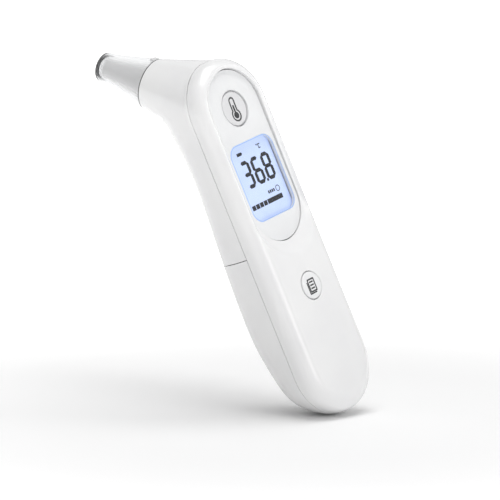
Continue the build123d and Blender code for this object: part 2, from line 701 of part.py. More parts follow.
def sensor_ribbon():
    """The flat cable from the sensor's leads down the neck to the board."""
    start = probe_plane(6.6).origin
    bend = probe_plane(-7.0).origin
    face = BOARD_FACE + BOARD_THICKNESS
    path = [(start.Y, start.Z), (bend.Y, bend.Z), (face + 3.6, 122.0), (face + 3.6, CONNECTOR_HEIGHT + 1.8)]
    strip = make_face(offset(FilletPolyline(*path, radius=4.0), 0.3, side=Side.LEFT, kind=Kind.TANGENT))
    return Pos(-2.6, 0, 0) * extrude(SIDE * strip, 5.2, dir=(1, 0, 0))


def sensor_connector():
    """The connector that takes the ribbon on the board."""
    body = on_board(8.0, 4.0, 4.6, 0.0, CONNECTOR_HEIGHT)
    return body - on_board(5.6, 6.0, 0.8, 0.0, CONNECTOR_HEIGHT + 4.0).moved(Location((0, 3.2, 0)))


# Every piece, in the order it is put together

os.makedirs("parts", exist_ok=True)
board_back = BOARD_FACE + BOARD_THICKNESS
shell = back_shell()
save("front_cover", front_cover())
save("inset_panel", inset_panel())
save("display_window", display_window())
save("scan_button", scan_button())
save("memory_button", memory_button())
save("lcd_glass", lcd_glass())
save("backlight", backlight())
save("lcd_holder", lcd_holder())
save("contact_strips", contact_strips())
save("main_board", main_board())
save("scan_switch", switch(SCAN_HEIGHT))
save("scan_plunger", plunger(SCAN_HEIGHT))
save("memory_switch", switch(MEMORY_HEIGHT))
save("memory_plunger", plunger(MEMORY_HEIGHT))
save("processor", processor())
save("buzzer", buzzer())
save("sensor_connector", sensor_connector())
save("sensor_ribbon", sensor_ribbon())
save("board_screws", screws(BOARD_SCREWS, board_back, BOARD_SCREW_LENGTH))
save("battery_tray", battery_tray())
save("tray_screws", screws(TRAY_SCREWS, TRAY_FLOOR + TRAY_WALL, TRAY_SCREW_LENGTH))
save("contact_plates", contact_plates())
save("contact_springs", contact_springs())
save("battery_left", cell(-CELL_SPACING, True))
save("battery_right", cell(CELL_SPACING, False))
save("back_cover", back_cover(shell))
save("battery_cover", battery_cover(shell))
save("probe_nozzle", probe_nozzle())
save("probe_seal", probe_seal())
save("sensor_sleeve", sensor_sleeve())
save("thermopile", thermopile())
save("waveguide", waveguide())
save("sensor_window", sensor_window())
save("probe_cap", probe_cap())
save("tip_ring", tip_ring())
save("cap_film", cap_film())
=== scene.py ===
import bmesh
import bpy
from math import asin, atan2, cos, degrees, hypot, pi, radians, sin, sqrt, tan
from mathutils import Matrix, Vector
from mathutils.bvhtree import BVHTree


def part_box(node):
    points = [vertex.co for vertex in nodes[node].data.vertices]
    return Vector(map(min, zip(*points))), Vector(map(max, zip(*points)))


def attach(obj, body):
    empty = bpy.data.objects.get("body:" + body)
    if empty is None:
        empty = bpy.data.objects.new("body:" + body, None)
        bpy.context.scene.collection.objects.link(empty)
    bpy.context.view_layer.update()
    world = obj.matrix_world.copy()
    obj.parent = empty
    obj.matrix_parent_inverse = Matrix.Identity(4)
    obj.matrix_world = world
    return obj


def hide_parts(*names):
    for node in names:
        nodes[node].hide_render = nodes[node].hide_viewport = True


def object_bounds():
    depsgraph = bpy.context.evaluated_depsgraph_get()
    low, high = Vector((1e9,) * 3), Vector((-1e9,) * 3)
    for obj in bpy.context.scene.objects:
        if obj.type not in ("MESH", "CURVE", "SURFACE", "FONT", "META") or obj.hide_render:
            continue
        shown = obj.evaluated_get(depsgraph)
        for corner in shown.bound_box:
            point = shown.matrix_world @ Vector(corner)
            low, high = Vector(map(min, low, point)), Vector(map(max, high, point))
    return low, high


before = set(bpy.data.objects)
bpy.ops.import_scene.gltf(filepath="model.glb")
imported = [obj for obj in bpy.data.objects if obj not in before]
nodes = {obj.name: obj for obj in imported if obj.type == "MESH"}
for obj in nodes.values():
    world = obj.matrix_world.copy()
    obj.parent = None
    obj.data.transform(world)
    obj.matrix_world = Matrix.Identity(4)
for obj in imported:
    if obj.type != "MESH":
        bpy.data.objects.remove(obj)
cad_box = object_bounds()
scene = bpy.context.scene
MM = 0.001

# Camera: a long lens that looks at the display side from the left and slightly from above, turned so
# that the handle leans with its head to the left.
AZIMUTH = radians(-47.9)
ELEVATION = radians(4.45)
LEAN = radians(21.9)
toward = Vector((sin(AZIMUTH) * cos(ELEVATION), -cos(AZIMUTH) * cos(ELEVATION), sin(ELEVATION)))
level_right = Vector((0, 0, 1)).cross(toward).normalized()
level_up = toward.cross(level_right)
view_right = level_right * cos(LEAN) - level_up * sin(LEAN)
view_up = level_right * sin(LEAN) + level_up * cos(LEAN)
scan_low, scan_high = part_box("scan_button")
AIM_DEPTH = -5.5
scan_centre = Vector((0, AIM_DEPTH * MM, (scan_low.z + scan_high.z) / 2))
LENS = 270
SENSOR = 36
# Where the camera stands from the scan button's centre, in millimetres
RIGHT_OF_BUTTON = 5.92
BELOW_BUTTON = 54.46
CAMERA_DISTANCE = 1442.3
camera_data = bpy.data.cameras.new("camera")
camera_data.lens = LENS
camera_data.sensor_width = SENSOR
camera_data.clip_start = 0.05
camera_data.clip_end = 20
camera = bpy.data.objects.new("camera", camera_data)
scene.collection.objects.link(camera)
place = scan_centre + view_right * RIGHT_OF_BUTTON * MM - view_up * BELOW_BUTTON * MM
place += toward * CAMERA_DISTANCE * MM
turn = Matrix((view_right, view_up, toward)).transposed().to_4x4()
camera.matrix_world = Matrix.Translation(place) @ turn
scene.camera = camera

# Stage: a pale floor under the lower end and soft panels round it. The floor is level as the camera sees
# it, so the handle stands on the edge of its round end, and it is clear from below.
FLOOR_PITCH = radians(8)
HALF_WIDTH = 20.0


def link(name, data, body=None, replaced=()):
    """Puts a piece in the scene on its body and the CAD nodes that it stands for."""
    piece = bpy.data.objects.new(name, data)
    scene.collection.objects.link(piece)
    if body:
        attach(piece, body)
    if replaced:
        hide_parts(*replaced)
    return piece


def mesh_from(name, points, faces):
    """A mesh with smooth faces from points and faces."""
    data = bpy.data.meshes.new(name)
    data.from_pydata([tuple(p) for p in points], [], faces)
    data.polygons.foreach_set("use_smooth", [True] * len(data.polygons))
    data.update()
    return data


def new_material(name):
    """An empty node material with its shader, and a short way to add nodes to it."""
    material = bpy.data.materials.new(name)
    material.use_nodes = True
    tree = material.node_tree
    shader = tree.nodes["Principled BSDF"]
    return material, tree, shader


def add(tree, kind, **values):
    """A node with its properties and input values set."""
    node = tree.nodes.new(kind)
    for key, value in values.items():
        if hasattr(node, key):
            setattr(node, key, value)
        else:
            node.inputs[key.replace("_", " ")].default_value = value
    return node


def join(tree, source, output, target, slot):
    """Links one node's output to another node's input."""
    tree.links.new(source.outputs[output], target.inputs[slot])


def texture_place(tree, node):
    """Gives a node the piece's own coordinates, which stay with the piece as it moves."""
    join(tree, add(tree, "ShaderNodeTexCoord"), "Object", node, 0)


def mottle(tree, low, high, scale, detail=3.0):
    """A soft cloudy mix of two colours."""
    noise = add(tree, "ShaderNodeTexNoise", Scale=scale, Detail=detail, Roughness=0.55)
    ramp = add(tree, "ShaderNodeValToRGB")
    ramp.color_ramp.elements[0].position = 0.36
    ramp.color_ramp.elements[0].color = (*low, 1)
    ramp.color_ramp.elements[1].position = 0.66
    ramp.color_ramp.elements[1].color = (*high, 1)
    texture_place(tree, noise)
    join(tree, noise, "Fac", ramp, "Fac")
    return ramp.outputs["Color"]


def cloudy(name, low, high, scale, **values):
    """A material with a cloudy colour and set values for its other inputs."""
    material, tree, shader = new_material(name)
    tree.links.new(mottle(tree, low, high, scale), shader.inputs["Base Color"])
    for key, value in values.items():
        shader.inputs[key.replace("_", " ")].default_value = value
    return material, tree, shader


floor_up = (view_up * cos(FLOOR_PITCH) + toward * sin(FLOOR_PITCH)).normalized()
floor_side = (view_right - floor_up * view_right.dot(floor_up)).normalized()
floor_far = floor_up.cross(floor_side)
front_low, front_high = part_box("front_cover")
end_centre = Vector((0, 0, front_low.z + HALF_WIDTH * MM))
# Depth behind the seam, and radius there, of the round lower end
END_SHAPE = ((0.0, 20.0), (-4.0, 19.5), (-7.0, 17.0), (6.0, 19.0), (12.0, 16.0))
END_STEPS = 180
STANDING_GAP = 0.0002


def lowest_on(normal):
    """How far the round lower end reaches below its centre, against the floor's normal."""
    reach = 0.0
    for step in range(END_STEPS + 1):
        angle = pi * step / END_STEPS
        rim = Vector((cos(angle), 0, -sin(angle)))
        for depth, radius in END_SHAPE:
            point = rim * radius * MM + Vector((0, depth * MM, 0))
            reach = max(reach, -point.dot(normal))
    return reach


contact = end_centre - floor_up * (lowest_on(floor_up) + STANDING_GAP)
FLOOR_REACH = 3.2
FLOOR_STEPS = 24
floor_points = []
floor_faces = []
for row in range(FLOOR_STEPS + 1):
    for column in range(FLOOR_STEPS + 1):
        across = FLOOR_REACH * (2 * column / FLOOR_STEPS - 1)
        away = FLOOR_REACH * (2 * row / FLOOR_STEPS - 1)
        floor_points.append(contact + floor_side * across + floor_far * away)
for row in range(FLOOR_STEPS):
    for column in range(FLOOR_STEPS):
        first = row * (FLOOR_STEPS + 1) + column
        floor_faces.append((first, first + 1, first + FLOOR_STEPS + 2, first + FLOOR_STEPS + 1))
floor = link("floor", mesh_from("floor", floor_points, floor_faces))
floor_paint, tree, shader = cloudy(
    "floor_paint", (0.90, 0.90, 0.90), (0.92, 0.92, 0.92), 3.0,
    Roughness=0.9, Specular_IOR_Level=0.1, Emission_Color=(1, 1, 1, 1),
)
# The floor glows, and its glow fades to nothing near the contact point: a painted contact shadow under the
# lower end.
away = add(tree, "ShaderNodeVectorMath", operation="DISTANCE")
away.inputs[1].default_value = contact
PAINTED_SHADOW_REACH = 0.08
GLOW_REACH = 0.5
GLOW = 0.8
painted_shadow_fade = add(tree, "ShaderNodeMapRange", From_Min=PAINTED_SHADOW_REACH, From_Max=GLOW_REACH, To_Min=0.0, To_Max=GLOW)
painted_shadow_fade.interpolation_type = "SMOOTHSTEP"
texture_place(tree, away)
join(tree, away, "Value", painted_shadow_fade, "Value")
join(tree, painted_shadow_fade, "Result", shader, "Emission Strength")
clear = add(tree, "ShaderNodeBsdfTransparent")
facing = add(tree, "ShaderNodeNewGeometry")
chooser = add(tree, "ShaderNodeMixShader")
output = tree.nodes["Material Output"]
join(tree, facing, "Backfacing", chooser, 0)
join(tree, shader, "BSDF", chooser, 1)
join(tree, clear, "BSDF", chooser, 2)
join(tree, chooser, "Shader", output, "Surface")
floor.data.materials.append(floor_paint)

ROOM_LIGHT = 0.42
world = bpy.data.worlds.new("studio")
world.use_nodes = True
world.node_tree.nodes["Background"].inputs["Color"].default_value = (1, 1, 1, 1)
world.node_tree.nodes["Background"].inputs["Strength"].default_value = ROOM_LIGHT
scene.world = world
scene.view_settings.view_transform = "Standard"
scene.view_settings.look = "None"

object_centre = (cad_box[0] + cad_box[1]) / 2


def soft_panel(name, offset, width, height, power):
    """A soft light panel that faces the middle of the object; offset is right, up and toward."""
    light = bpy.data.lights.new(name, "AREA")
    light.shape = "RECTANGLE"
    light.size = width
    light.size_y = height
    light.energy = power
    panel = bpy.data.objects.new(name, light)
    scene.collection.objects.link(panel)
    right, up, near = offset
    panel.location = object_centre + floor_side * right + floor_up * up - floor_far * near
    direction = object_centre - panel.location
    panel.rotation_mode = "QUATERNION"
    panel.rotation_quaternion = direction.to_track_quat("-Z", "Y")
    return panel


soft_panel("top_panel", (0.02, 1.5, 0.05), 1.3, 1.0, 14.5)
soft_panel("left_panel", (-0.75, -0.2, 0.5), 0.6, 0.9, 0.6)
soft_panel("front_panel", (0.8, 0.3, 0.75), 0.5, 0.9, 3.2)
soft_panel("right_panel", (0.9, 0.2, 0.1), 0.15, 0.8, 0.35)
soft_panel("rear_panel", (-0.2, 0.5, -0.9), 0.8, 0.6, 0.6)

# Front cover: an injection-moulded shell of glossy white plastic with a recess for the panel, a round hole
# for the lower button and a lip that locates it in the back. Screws from inside hold it.
CROWN_RADIUS = 245.0
SHOULDER_RADIUS = 6.0
FRONT_DEPTH = 8.5
SEAM = 0.12
LOWER_END = front_low.z / MM
LOW_CENTRE = LOWER_END + HALF_WIDTH
TOP_CENTRE = front_high.z / MM - HALF_WIDTH
shoulder_x = HALF_WIDTH - SHOULDER_RADIUS
shoulder_y = CROWN_RADIUS - FRONT_DEPTH - sqrt((CROWN_RADIUS - SHOULDER_RADIUS) ** 2 - shoulder_x**2)
crown_join = shoulder_x * CROWN_RADIUS / (CROWN_RADIUS - SHOULDER_RADIUS)


def face_depth(distance):
    """How deep the front stands before the seam, at a distance from the handle's spine."""
    if distance <= crown_join:
        return sqrt(CROWN_RADIUS**2 - distance**2) - CROWN_RADIUS + FRONT_DEPTH
    across = min(distance - shoulder_x, SHOULDER_RADIUS)
    return -shoulder_y + sqrt(SHOULDER_RADIUS**2 - across**2)


def spine_distance(across, height):
    """Distance from the straight line between the two end centres."""
    beyond = max(LOW_CENTRE - height, height - TOP_CENTRE, 0.0)
    return hypot(across, beyond)


def stadium_loop(half_width, low, top, arc_steps, side_steps):
    """Points round a stadium, from the right side at the top arc's start, over the top and down the left."""
    angles = [pi * step / arc_steps for step in range(arc_steps)]
    arc = [(half_width * cos(angle), half_width * sin(angle)) for angle in angles]
    loop = [(x, top + z) for x, z in arc]
    loop += [(-half_width, top + (low - top) * s / side_steps) for s in range(side_steps)]
    loop += [(-x, low - z) for x, z in arc]
    loop += [(half_width, low + (top - low) * s / side_steps) for s in range(side_steps)]
    return loop


def bridge(rows, columns, closed=True, flip=False):
    """Quads between rows of points that lie one after the other."""
    faces = []
    reach = columns if closed else columns - 1
    for row in range(rows - 1):
        for column in range(reach):
            a = row * columns + column
            b = row * columns + (column + 1) % columns
            quad = (a, b, b + columns, a + columns)
            faces.append(quad[::-1] if flip else quad)
    return faces


ARC_STEPS = 72
SIDE_STEPS = 64
PANEL_HALF = 15.1
PANEL_LOW = 85.4 + LOWER_END
BEVEL_SIDE = 1.45
BEVEL_DROP = 4.7
BEVEL_HALF = PANEL_HALF + BEVEL_SIDE
BEVEL_LOW = PANEL_LOW - BEVEL_DROP
BEVEL_TOP_DEPTH = 7.1
BEVEL_BOTTOM_DEPTH = 6.25
RECESS_DEPTH = 5.0
outer = stadium_loop(HALF_WIDTH, LOW_CENTRE, TOP_CENTRE, ARC_STEPS, SIDE_STEPS)
brow = stadium_loop(BEVEL_HALF, BEVEL_LOW, TOP_CENTRE, ARC_STEPS, SIDE_STEPS)
sill = stadium_loop(PANEL_HALF, PANEL_LOW, TOP_CENTRE, ARC_STEPS, SIDE_STEPS)
columns = len(outer)


def inward(point, amount):
    """The outline point moved towards the spine by an amount."""
    across, height = point
    centre = min(max(height, LOW_CENTRE), TOP_CENTRE)
    length = hypot(across, height - centre)
    share = 1 - amount / length
    return across * share, centre + (height - centre) * share


front_points = []


def front_row(places, depths):
    """Adds a row of points of the front, from places across and up the handle and depths before the seam."""
    for (across, height), depth in zip(places, depths):
        front_points.append((across * MM, -depth * MM, height * MM))


RIM_DEPTHS = (SEAM, 0.2, 1.2)
for depth in RIM_DEPTHS:
    front_row(outer, [depth] * columns)
SHOULDER_ANGLES = (0, 8, 17, 26, 36)
for tilt in SHOULDER_ANGLES:
    angle = radians(tilt)
    moved = [inward(p, SHOULDER_RADIUS * (1 - cos(angle))) for p in outer]
    front_row(moved, [-shoulder_y + SHOULDER_RADIUS * sin(angle)] * columns)
start = [inward(p, SHOULDER_RADIUS * (1 - cos(radians(SHOULDER_ANGLES[-1])))) for p in outer]
FACE_SHARES = (0.06, 0.12, 0.2, 0.3, 0.42, 0.55, 0.7, 0.84, 0.93, 0.975)


def part_way(first, second, share):
    """Outline points part of the way from one outline to another."""
    return [(a[0] + (b[0] - a[0]) * share, a[1] + (b[1] - a[1]) * share) for a, b in zip(first, second)]


for share in FACE_SHARES:
    places = part_way(start, brow, share)
    front_row(places, [face_depth(spine_distance(*p)) for p in places])


def sill_depth(height):
    """Depth of the bevel's inner edge, which is shallower towards the bottom of the panel."""
    top = TOP_CENTRE + PANEL_HALF
    bottom = PANEL_LOW - PANEL_HALF
    return BEVEL_BOTTOM_DEPTH + (BEVEL_TOP_DEPTH - BEVEL_BOTTOM_DEPTH) * (height - bottom) / (top - bottom)


BEVEL_ROWS = 8
BEVEL_SAG = 0.25
EDGE_ROUND = 0.04
SILL_LIP = 0.35
brow_depth = [face_depth(spine_distance(*p)) for p in brow]
inner_depth = [sill_depth(p[1]) for p in sill]
for row in range(BEVEL_ROWS + 1):
    share = row / BEVEL_ROWS
    sag = BEVEL_SAG * sin(pi * share)
    fall = []
    for high, low in zip(brow_depth, inner_depth):
        fall.append(high + (low - high) * share - sag * min(1.0, (high - low) / 2) - EDGE_ROUND)
    front_row(part_way(brow, sill, share), fall)
front_row(sill, [depth - SILL_LIP for depth in inner_depth])
front_row(sill, [RECESS_DEPTH] * columns)
rows = len(front_points) // columns
front_mesh = mesh_from("front_cover_shell", front_points, bridge(rows, columns))


def grain(tree, shader, scale, depth, detail=2.0):
    """A fine bump over the whole surface, depth in metres."""
    noise = add(tree, "ShaderNodeTexNoise", Scale=scale, Detail=detail)
    bump = add(tree, "ShaderNodeBump", Strength=1.0, Distance=depth)
    texture_place(tree, noise)
    join(tree, noise, "Fac", bump, "Height")
    join(tree, bump, "Normal", shader, "Normal")


def uneven_gloss(tree, shader, low, high, scale):
    """Roughness that drifts between two values."""
    noise = add(tree, "ShaderNodeTexNoise", Scale=scale, Detail=3.0)
    span = add(tree, "ShaderNodeMapRange", From_Min=0.3, From_Max=0.7, To_Min=low, To_Max=high)
    texture_place(tree, noise)
    join(tree, noise, "Fac", span, "Value")
    join(tree, span, "Result", shader, "Roughness")


def moulded(name, low, high, gloss, grain_scale=9000.0, grain_depth=0.000004, coat=0.0):
    """Moulded plastic: a faint cloudiness in its colour, uneven gloss and a fine tool texture."""
    material, tree, shader = cloudy(name, low, high, 45.0, Coat_Weight=coat, Coat_Roughness=0.12)
    uneven_gloss(tree, shader, *gloss, 120.0)
    grain(tree, shader, grain_scale, grain_depth)
    return material


FINE_GRAIN = (14000.0, 0.000002)
shell_white = moulded("shell_white", (0.80, 0.80, 0.805), (0.83, 0.83, 0.83), (0.2, 0.27), *FINE_GRAIN, 0.25)
front_mesh.materials.append(shell_white)
front_piece = link("front_cover_shell", front_mesh, "handle", ["front_cover"])


def apply_modifiers(piece):
    """Turns a piece's modifiers into its mesh."""
    bpy.context.view_layer.update()
    evaluated = piece.evaluated_get(bpy.context.evaluated_depsgraph_get())
    mesh = bpy.data.meshes.new_from_object(evaluated)
    piece.modifiers.clear()
    piece.data = mesh


def smooth_by_angle(mesh, limit=32):
    """Marks edges sharper than an angle, and shades the rest smooth."""
    form = bmesh.new()
    form.from_mesh(mesh)
    for edge in form.edges:
        edge.smooth = len(edge.link_faces) == 2 and edge.calc_face_angle(pi) < radians(limit)
    for face in form.faces:
        face.smooth = True
    form.to_mesh(mesh)
    form.free()


def thicken(piece, thickness):
    """Gives a skin its wall, inwards."""
    wall = piece.modifiers.new("wall", "SOLIDIFY")
    wall.thickness = thickness * MM
    wall.offset = -1
    wall.use_even_offset = False
    apply_modifiers(piece)


def lathe(name, profile, centre, axis, steps=96, material=None):
    """A turned piece: profile points are (distance along the axis, radius) in millimetres."""
    along = Vector(axis).normalized()
    side = Vector((1, 0, 0)) if abs(along.x) < 0.5 else Vector((0, 1, 0))
    other = along.cross(side).normalized()
    side = other.cross(along).normalized()
    points = []
    for distance, radius in profile:
        for step in range(steps):
            angle = 2 * pi * step / steps
            ring = side * cos(angle) + other * sin(angle)
            points.append(Vector(centre) + along * distance * MM + ring * radius * MM)
    mesh = mesh_from(name, points, bridge(len(profile), steps, flip=True))
    form = bmesh.new()
    form.from_mesh(mesh)
    bmesh.ops.remove_doubles(form, verts=form.verts, dist=0.000002)
    bmesh.ops.holes_fill(form, edges=[e for e in form.edges if e.is_boundary], sides=0)
    bmesh.ops.recalc_face_normals(form, faces=form.faces)
    form.to_mesh(mesh)
    form.free()
    smooth_by_angle(mesh)
    if material:
        mesh.materials.append(material)
    return mesh


def cut(piece, cutter):
    """Cuts one closed mesh out of another."""
    hole = piece.modifiers.new("hole", "BOOLEAN")
    hole.operation = "DIFFERENCE"
    hole.solver = "EXACT"
    hole.object = cutter
    apply_modifiers(piece)
    bpy.data.objects.remove(cutter)


FRONT_WALL = 1.8
thicken(front_piece, FRONT_WALL)
memory_low, memory_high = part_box("memory_button")
MEMORY_HEIGHT = (memory_low.z + memory_high.z) / 2
MEMORY_HOLE = 5.75
memory_centre = Vector((0, 0, MEMORY_HEIGHT))
HOLE_FLARE = MEMORY_HOLE + 0.25
DRILL_START = -12.0
DRILL_END = -4.0
drill = [(DRILL_START, 0.0), (DRILL_START, HOLE_FLARE), (-8.44, HOLE_FLARE)]
drill += [(-8.2, MEMORY_HOLE), (DRILL_END, MEMORY_HOLE), (DRILL_END, 0.0)]
cut(front_piece, link("drill", lathe("drill", drill, memory_centre, (0, 1, 0))))
smooth_by_angle(front_piece.data)

# Back cover and battery cover: two more white shells that meet the front at the seam. The back cover runs
# up into the neck, and the battery cover slides under its lower edge with a small tongue.
PROBE_ANGLE = radians(32.3)
PROBE_BASE = (28.2, 143.8 + LOWER_END)
PROBE_BASE_RADIUS = 10.6
JOINT_HEIGHT = 69.5 + LOWER_END
JOINT_GAP = 0.14
RING_POINTS = 72
# Height above the lower end, depth behind the seam, and the power that squares the section
LEVELS = (
    (20.0, 21.3, 1.9),
    (28.0, 22.5, 2.25),
    (38.0, 22.9, 2.5),
    (52.0, 22.9, 2.5),
    (68.0, 22.0, 2.5),
    (86.0, 20.3, 2.5),
    (102.0, 19.0, 2.5),
)
FIRST_LEVEL = LEVELS[0][0]
LAST_LEVEL, NECK_DEPTH = LEVELS[-1][:2]
UNDERSIDE_RADIUS = 48.0
HINGE = (NECK_DEPTH + UNDERSIDE_RADIUS, LAST_LEVEL + LOWER_END)


def between(table, key, column):
    """A smooth value between the rows of a table, by its first column."""
    if key <= table[0][0]:
        return table[0][column]
    for index in range(len(table) - 1):
        if key <= table[index + 1][0]:
            before = table[max(index - 1, 0)]
            a, b = table[index], table[index + 1]
            after = table[min(index + 2, len(table) - 1)]
            t = (key - a[0]) / (b[0] - a[0])
            width = b[0] - a[0]
            slope_a = (b[column] - before[column]) / (b[0] - before[0]) * width
            slope_b = (after[column] - a[column]) / (after[0] - a[0]) * width
            h = t * t * (3 - 2 * t)
            level = a[column] * (1 - h) + b[column] * h
            return level + slope_a * t * (1 - t) ** 2 - slope_b * t * t * (1 - t)
    return table[-1][column]


def level_ring(height):
    """A section of the handle at a height above its lower end, from the left seam round the back."""
    depth = between(LEVELS, height, 1)
    power = between(LEVELS, height, 2)
    ring = []
    for step in range(RING_POINTS + 1):
        bend = sin(pi / 2 * (1 - abs(2 * step / RING_POINTS - 1)))
        across = HALF_WIDTH * max(1 - bend**power, 0.0) ** (1 / power)
        ring.append((across if step > RING_POINTS / 2 else -across, depth * bend, height + LOWER_END))
    return ring


def end_ring(swing):
    """A section of the round lower end, where swing is 0 at the tip and a quarter turn at its top."""
    height = HALF_WIDTH * (1 - cos(swing))
    width = HALF_WIDTH * sin(swing)
    depth, power = LEVELS[0][1:]
    ring = []
    for step in range(RING_POINTS + 1):
        angle = pi * step / RING_POINTS
        across = -width * cos(angle)
        radius = min(hypot(across, HALF_WIDTH - height) / HALF_WIDTH, 1.0)
        ring.append((across, depth * (1 - radius**power) ** (1 / power), height + LOWER_END))
    return ring


# Swing angle, widest half width, share of the section above the widest place, powers below and above it
NECK = (
    (0.0, 20.0, 0.0, 2.5, 2.0),
    (12.0, 20.0, 0.0, 2.4, 2.0),
    (20.0, 19.7, 0.05, 2.3, 2.0),
    (26.0, 18.4, 0.14, 2.2, 2.0),
    (32.0, 16.6, 0.26, 2.15, 2.0),
    (38.0, 14.6, 0.36, 2.1, 2.0),
)
HEAD_TOP = TOP_CENTRE + HALF_WIDTH
PROBE_TOP = (
    PROBE_BASE[0] - PROBE_BASE_RADIUS * sin(PROBE_ANGLE),
    PROBE_BASE[1] + PROBE_BASE_RADIUS * cos(PROBE_ANGLE),
)
HOOD_SLOPE = (PROBE_TOP[1] - HEAD_TOP) / PROBE_TOP[0]


def neck_ring(swing):
    """A section swung about the hinge of the neck's underside, from the left seam or the top line."""
    angle = radians(swing)
    seam_reach = HINGE[0] / cos(angle)
    hood_reach = (HOOD_SLOPE * HINGE[0] + HEAD_TOP - HINGE[1]) / (sin(angle) + HOOD_SLOPE * cos(angle))
    reach = min(seam_reach, hood_reach)
    rise = min(max(HINGE[1] + HINGE[0] * tan(angle) - TOP_CENTRE, 0.0), HALF_WIDTH)
    edge = sqrt(HALF_WIDTH**2 - rise**2)
    widest = max(between(NECK, swing, 1), edge + 0.001)
    share, power, upper = (between(NECK, swing, column) for column in (2, 3, 4))
    limit = (1 - (edge / widest) ** upper) ** (1 / upper)
    above = share * limit
    span = above + 1 - share
    ring = []
    for step in range(RING_POINTS + 1):
        position = (1 - abs(2 * step / RING_POINTS - 1)) * span
        if position < above:
            bend = limit * sin(pi / 2 * (above - position) / above)
            across = widest * max(1 - bend**upper, 0.0) ** (1 / upper)
            along = above - bend * share
        else:
            bend = sin(pi / 2 * (position - above) / (1 - share))
            across = widest * max(1 - bend**power, 0.0) ** (1 / power)
            along = above + bend * (1 - share)
        distance = reach - (reach - UNDERSIDE_RADIUS) * along / span
        place = HINGE[0] - distance * cos(angle), HINGE[1] + distance * sin(angle)
        ring.append((across if step > RING_POINTS / 2 else -across, *place))
    return ring


PROBE_AXIS = Vector((0, cos(PROBE_ANGLE), sin(PROBE_ANGLE)))


def probe_ring(distance, radius):
    """A circle round the probe's axis, from its top line, in the same order as the neck's sections."""
    middle = Vector((0, *PROBE_BASE)) + PROBE_AXIS * distance
    down = Vector((0, sin(PROBE_ANGLE), -cos(PROBE_ANGLE)))
    ring = []
    for step in range(RING_POINTS + 1):
        angle = 2 * pi * step / RING_POINTS
        ring.append(tuple(middle - Vector((1, 0, 0)) * radius * sin(angle) - down * radius * cos(angle)))
    return ring


def glide(rings, steps):
    """Rings between each two of a list, eased so that they join smoothly; the first and last only guide."""
    made = []
    for index in range(1, len(rings) - 2):
        a, b, c, d = rings[index - 1 : index + 3]
        for step in range(steps):
            t = step / steps
            weights = (
                -t * (1 - t) ** 2 / 2,
                1 + t * t * (1.5 * t - 2.5),
                t * (0.5 + t * (2 - 1.5 * t)),
                t * t * (t - 1) / 2,
            )
            ring = []
            for four in zip(a, b, c, d):
                ring.append(tuple(sum(w * p[k] for w, p in zip(weights, four)) for k in range(3)))
            made.append(ring)
    made.append(rings[-2])
    return made


END_RINGS = 22
DOOR_RINGS = 20
BACK_RINGS = 14
NECK_STEPS = 8
lower_rings = [end_ring(pi / 2 * step / END_RINGS) for step in range(END_RINGS + 1)]
door_rise = JOINT_HEIGHT - LOWER_END - JOINT_GAP - FIRST_LEVEL
for step in range(1, DOOR_RINGS + 1):
    lower_rings.append(level_ring(FIRST_LEVEL + door_rise * step / DOOR_RINGS))
back_start = JOINT_HEIGHT - LOWER_END + JOINT_GAP
back_rise = LAST_LEVEL - back_start
upper_rings = [level_ring(back_start + back_rise * step / BACK_RINGS) for step in range(BACK_RINGS)]
SEAM_STEPS = 18
head_rises = [HALF_WIDTH * sin(pi / 2 * step / SEAM_STEPS) for step in range(SEAM_STEPS + 1)]
UNDERSIDE_STEP = 2.1
UNDERSIDE_STEPS = 9
HOOD_ANGLES = [33.5, 34.5, 36.0]
PROBE_SWING = 46.5
NECK_RUN = 10.0
NECK_TAPER = 3.5
swing_angles = [UNDERSIDE_STEP * step for step in range(UNDERSIDE_STEPS)]
swing_angles += [degrees(atan2(TOP_CENTRE + rise - HINGE[1], HINGE[0])) for rise in head_rises]
swing_angles += HOOD_ANGLES
swings = [neck_ring(angle) for angle in swing_angles]
run_share = (PROBE_SWING - swing_angles[-1]) / (swing_angles[-1] - swing_angles[-2])
before_neck = []
for a, b in zip(swings[-2], swings[-1]):
    before_neck.append(tuple(b[k] + (a[k] - b[k]) * run_share for k in range(3)))
guides = [before_neck, swings[-1], probe_ring(0, PROBE_BASE_RADIUS)]
guides.append(probe_ring(NECK_RUN, PROBE_BASE_RADIUS - NECK_TAPER))
upper_rings += swings[:-1] + glide(guides, NECK_STEPS)


def ease(rings, rounds, reach):
    """Evens out the skin from ring to ring, and leaves the seam and both end rings where they are."""
    for _ in range(rounds):
        eased = [rings[0]]
        for before, here, after in zip(rings, rings[1:], rings[2:]):
            row = []
            for a, b, c in zip(before, here, after):
                share = 0.5 * min(1.0, max(b[1], 0.0) / reach)
                row.append(tuple(b[k] + ((a[k] + c[k]) / 2 - b[k]) * share for k in range(3)))
            eased.append(row)
        rings = eased + [rings[-1]]
    return rings


cover_mesh = nodes["back_cover"].data
cover_points = [nodes["back_cover"].matrix_world @ v.co / MM for v in cover_mesh.vertices]
cover_skin = BVHTree.FromPolygons(cover_points, [tuple(f.vertices) for f in cover_mesh.polygons])
NECK_REACH = 2.4
MIDDLE_SHARE = 0.2
SIDE_SHARE = 0.35
SEAM_REACH = 1.5


def drawn_in(rings):
    """Brings the skin's sides onto the CAD neck; the seam and the underside stay where they are."""
    drawn = []
    for ring in rings:
        row = []
        for step, point in enumerate(ring):
            found = cover_skin.find_nearest(Vector(point), NECK_REACH)[0]
            sideways = min(1.0, max(abs(2 * step / RING_POINTS - 1) - MIDDLE_SHARE, 0.0) / SIDE_SHARE)
            share = sideways * min(1.0, max(point[1], 0.0) / SEAM_REACH)
            row.append(tuple(Vector(point).lerp(found, share)) if found else point)
        drawn.append(row)
    return drawn


lower_rings = ease(lower_rings, rounds=14, reach=5.0)
upper_rings = ease(upper_rings, rounds=14, reach=3.0)
upper_rings[1:-1] = drawn_in(upper_rings[1:-1])
upper_rings = ease(upper_rings, rounds=9, reach=2.0)


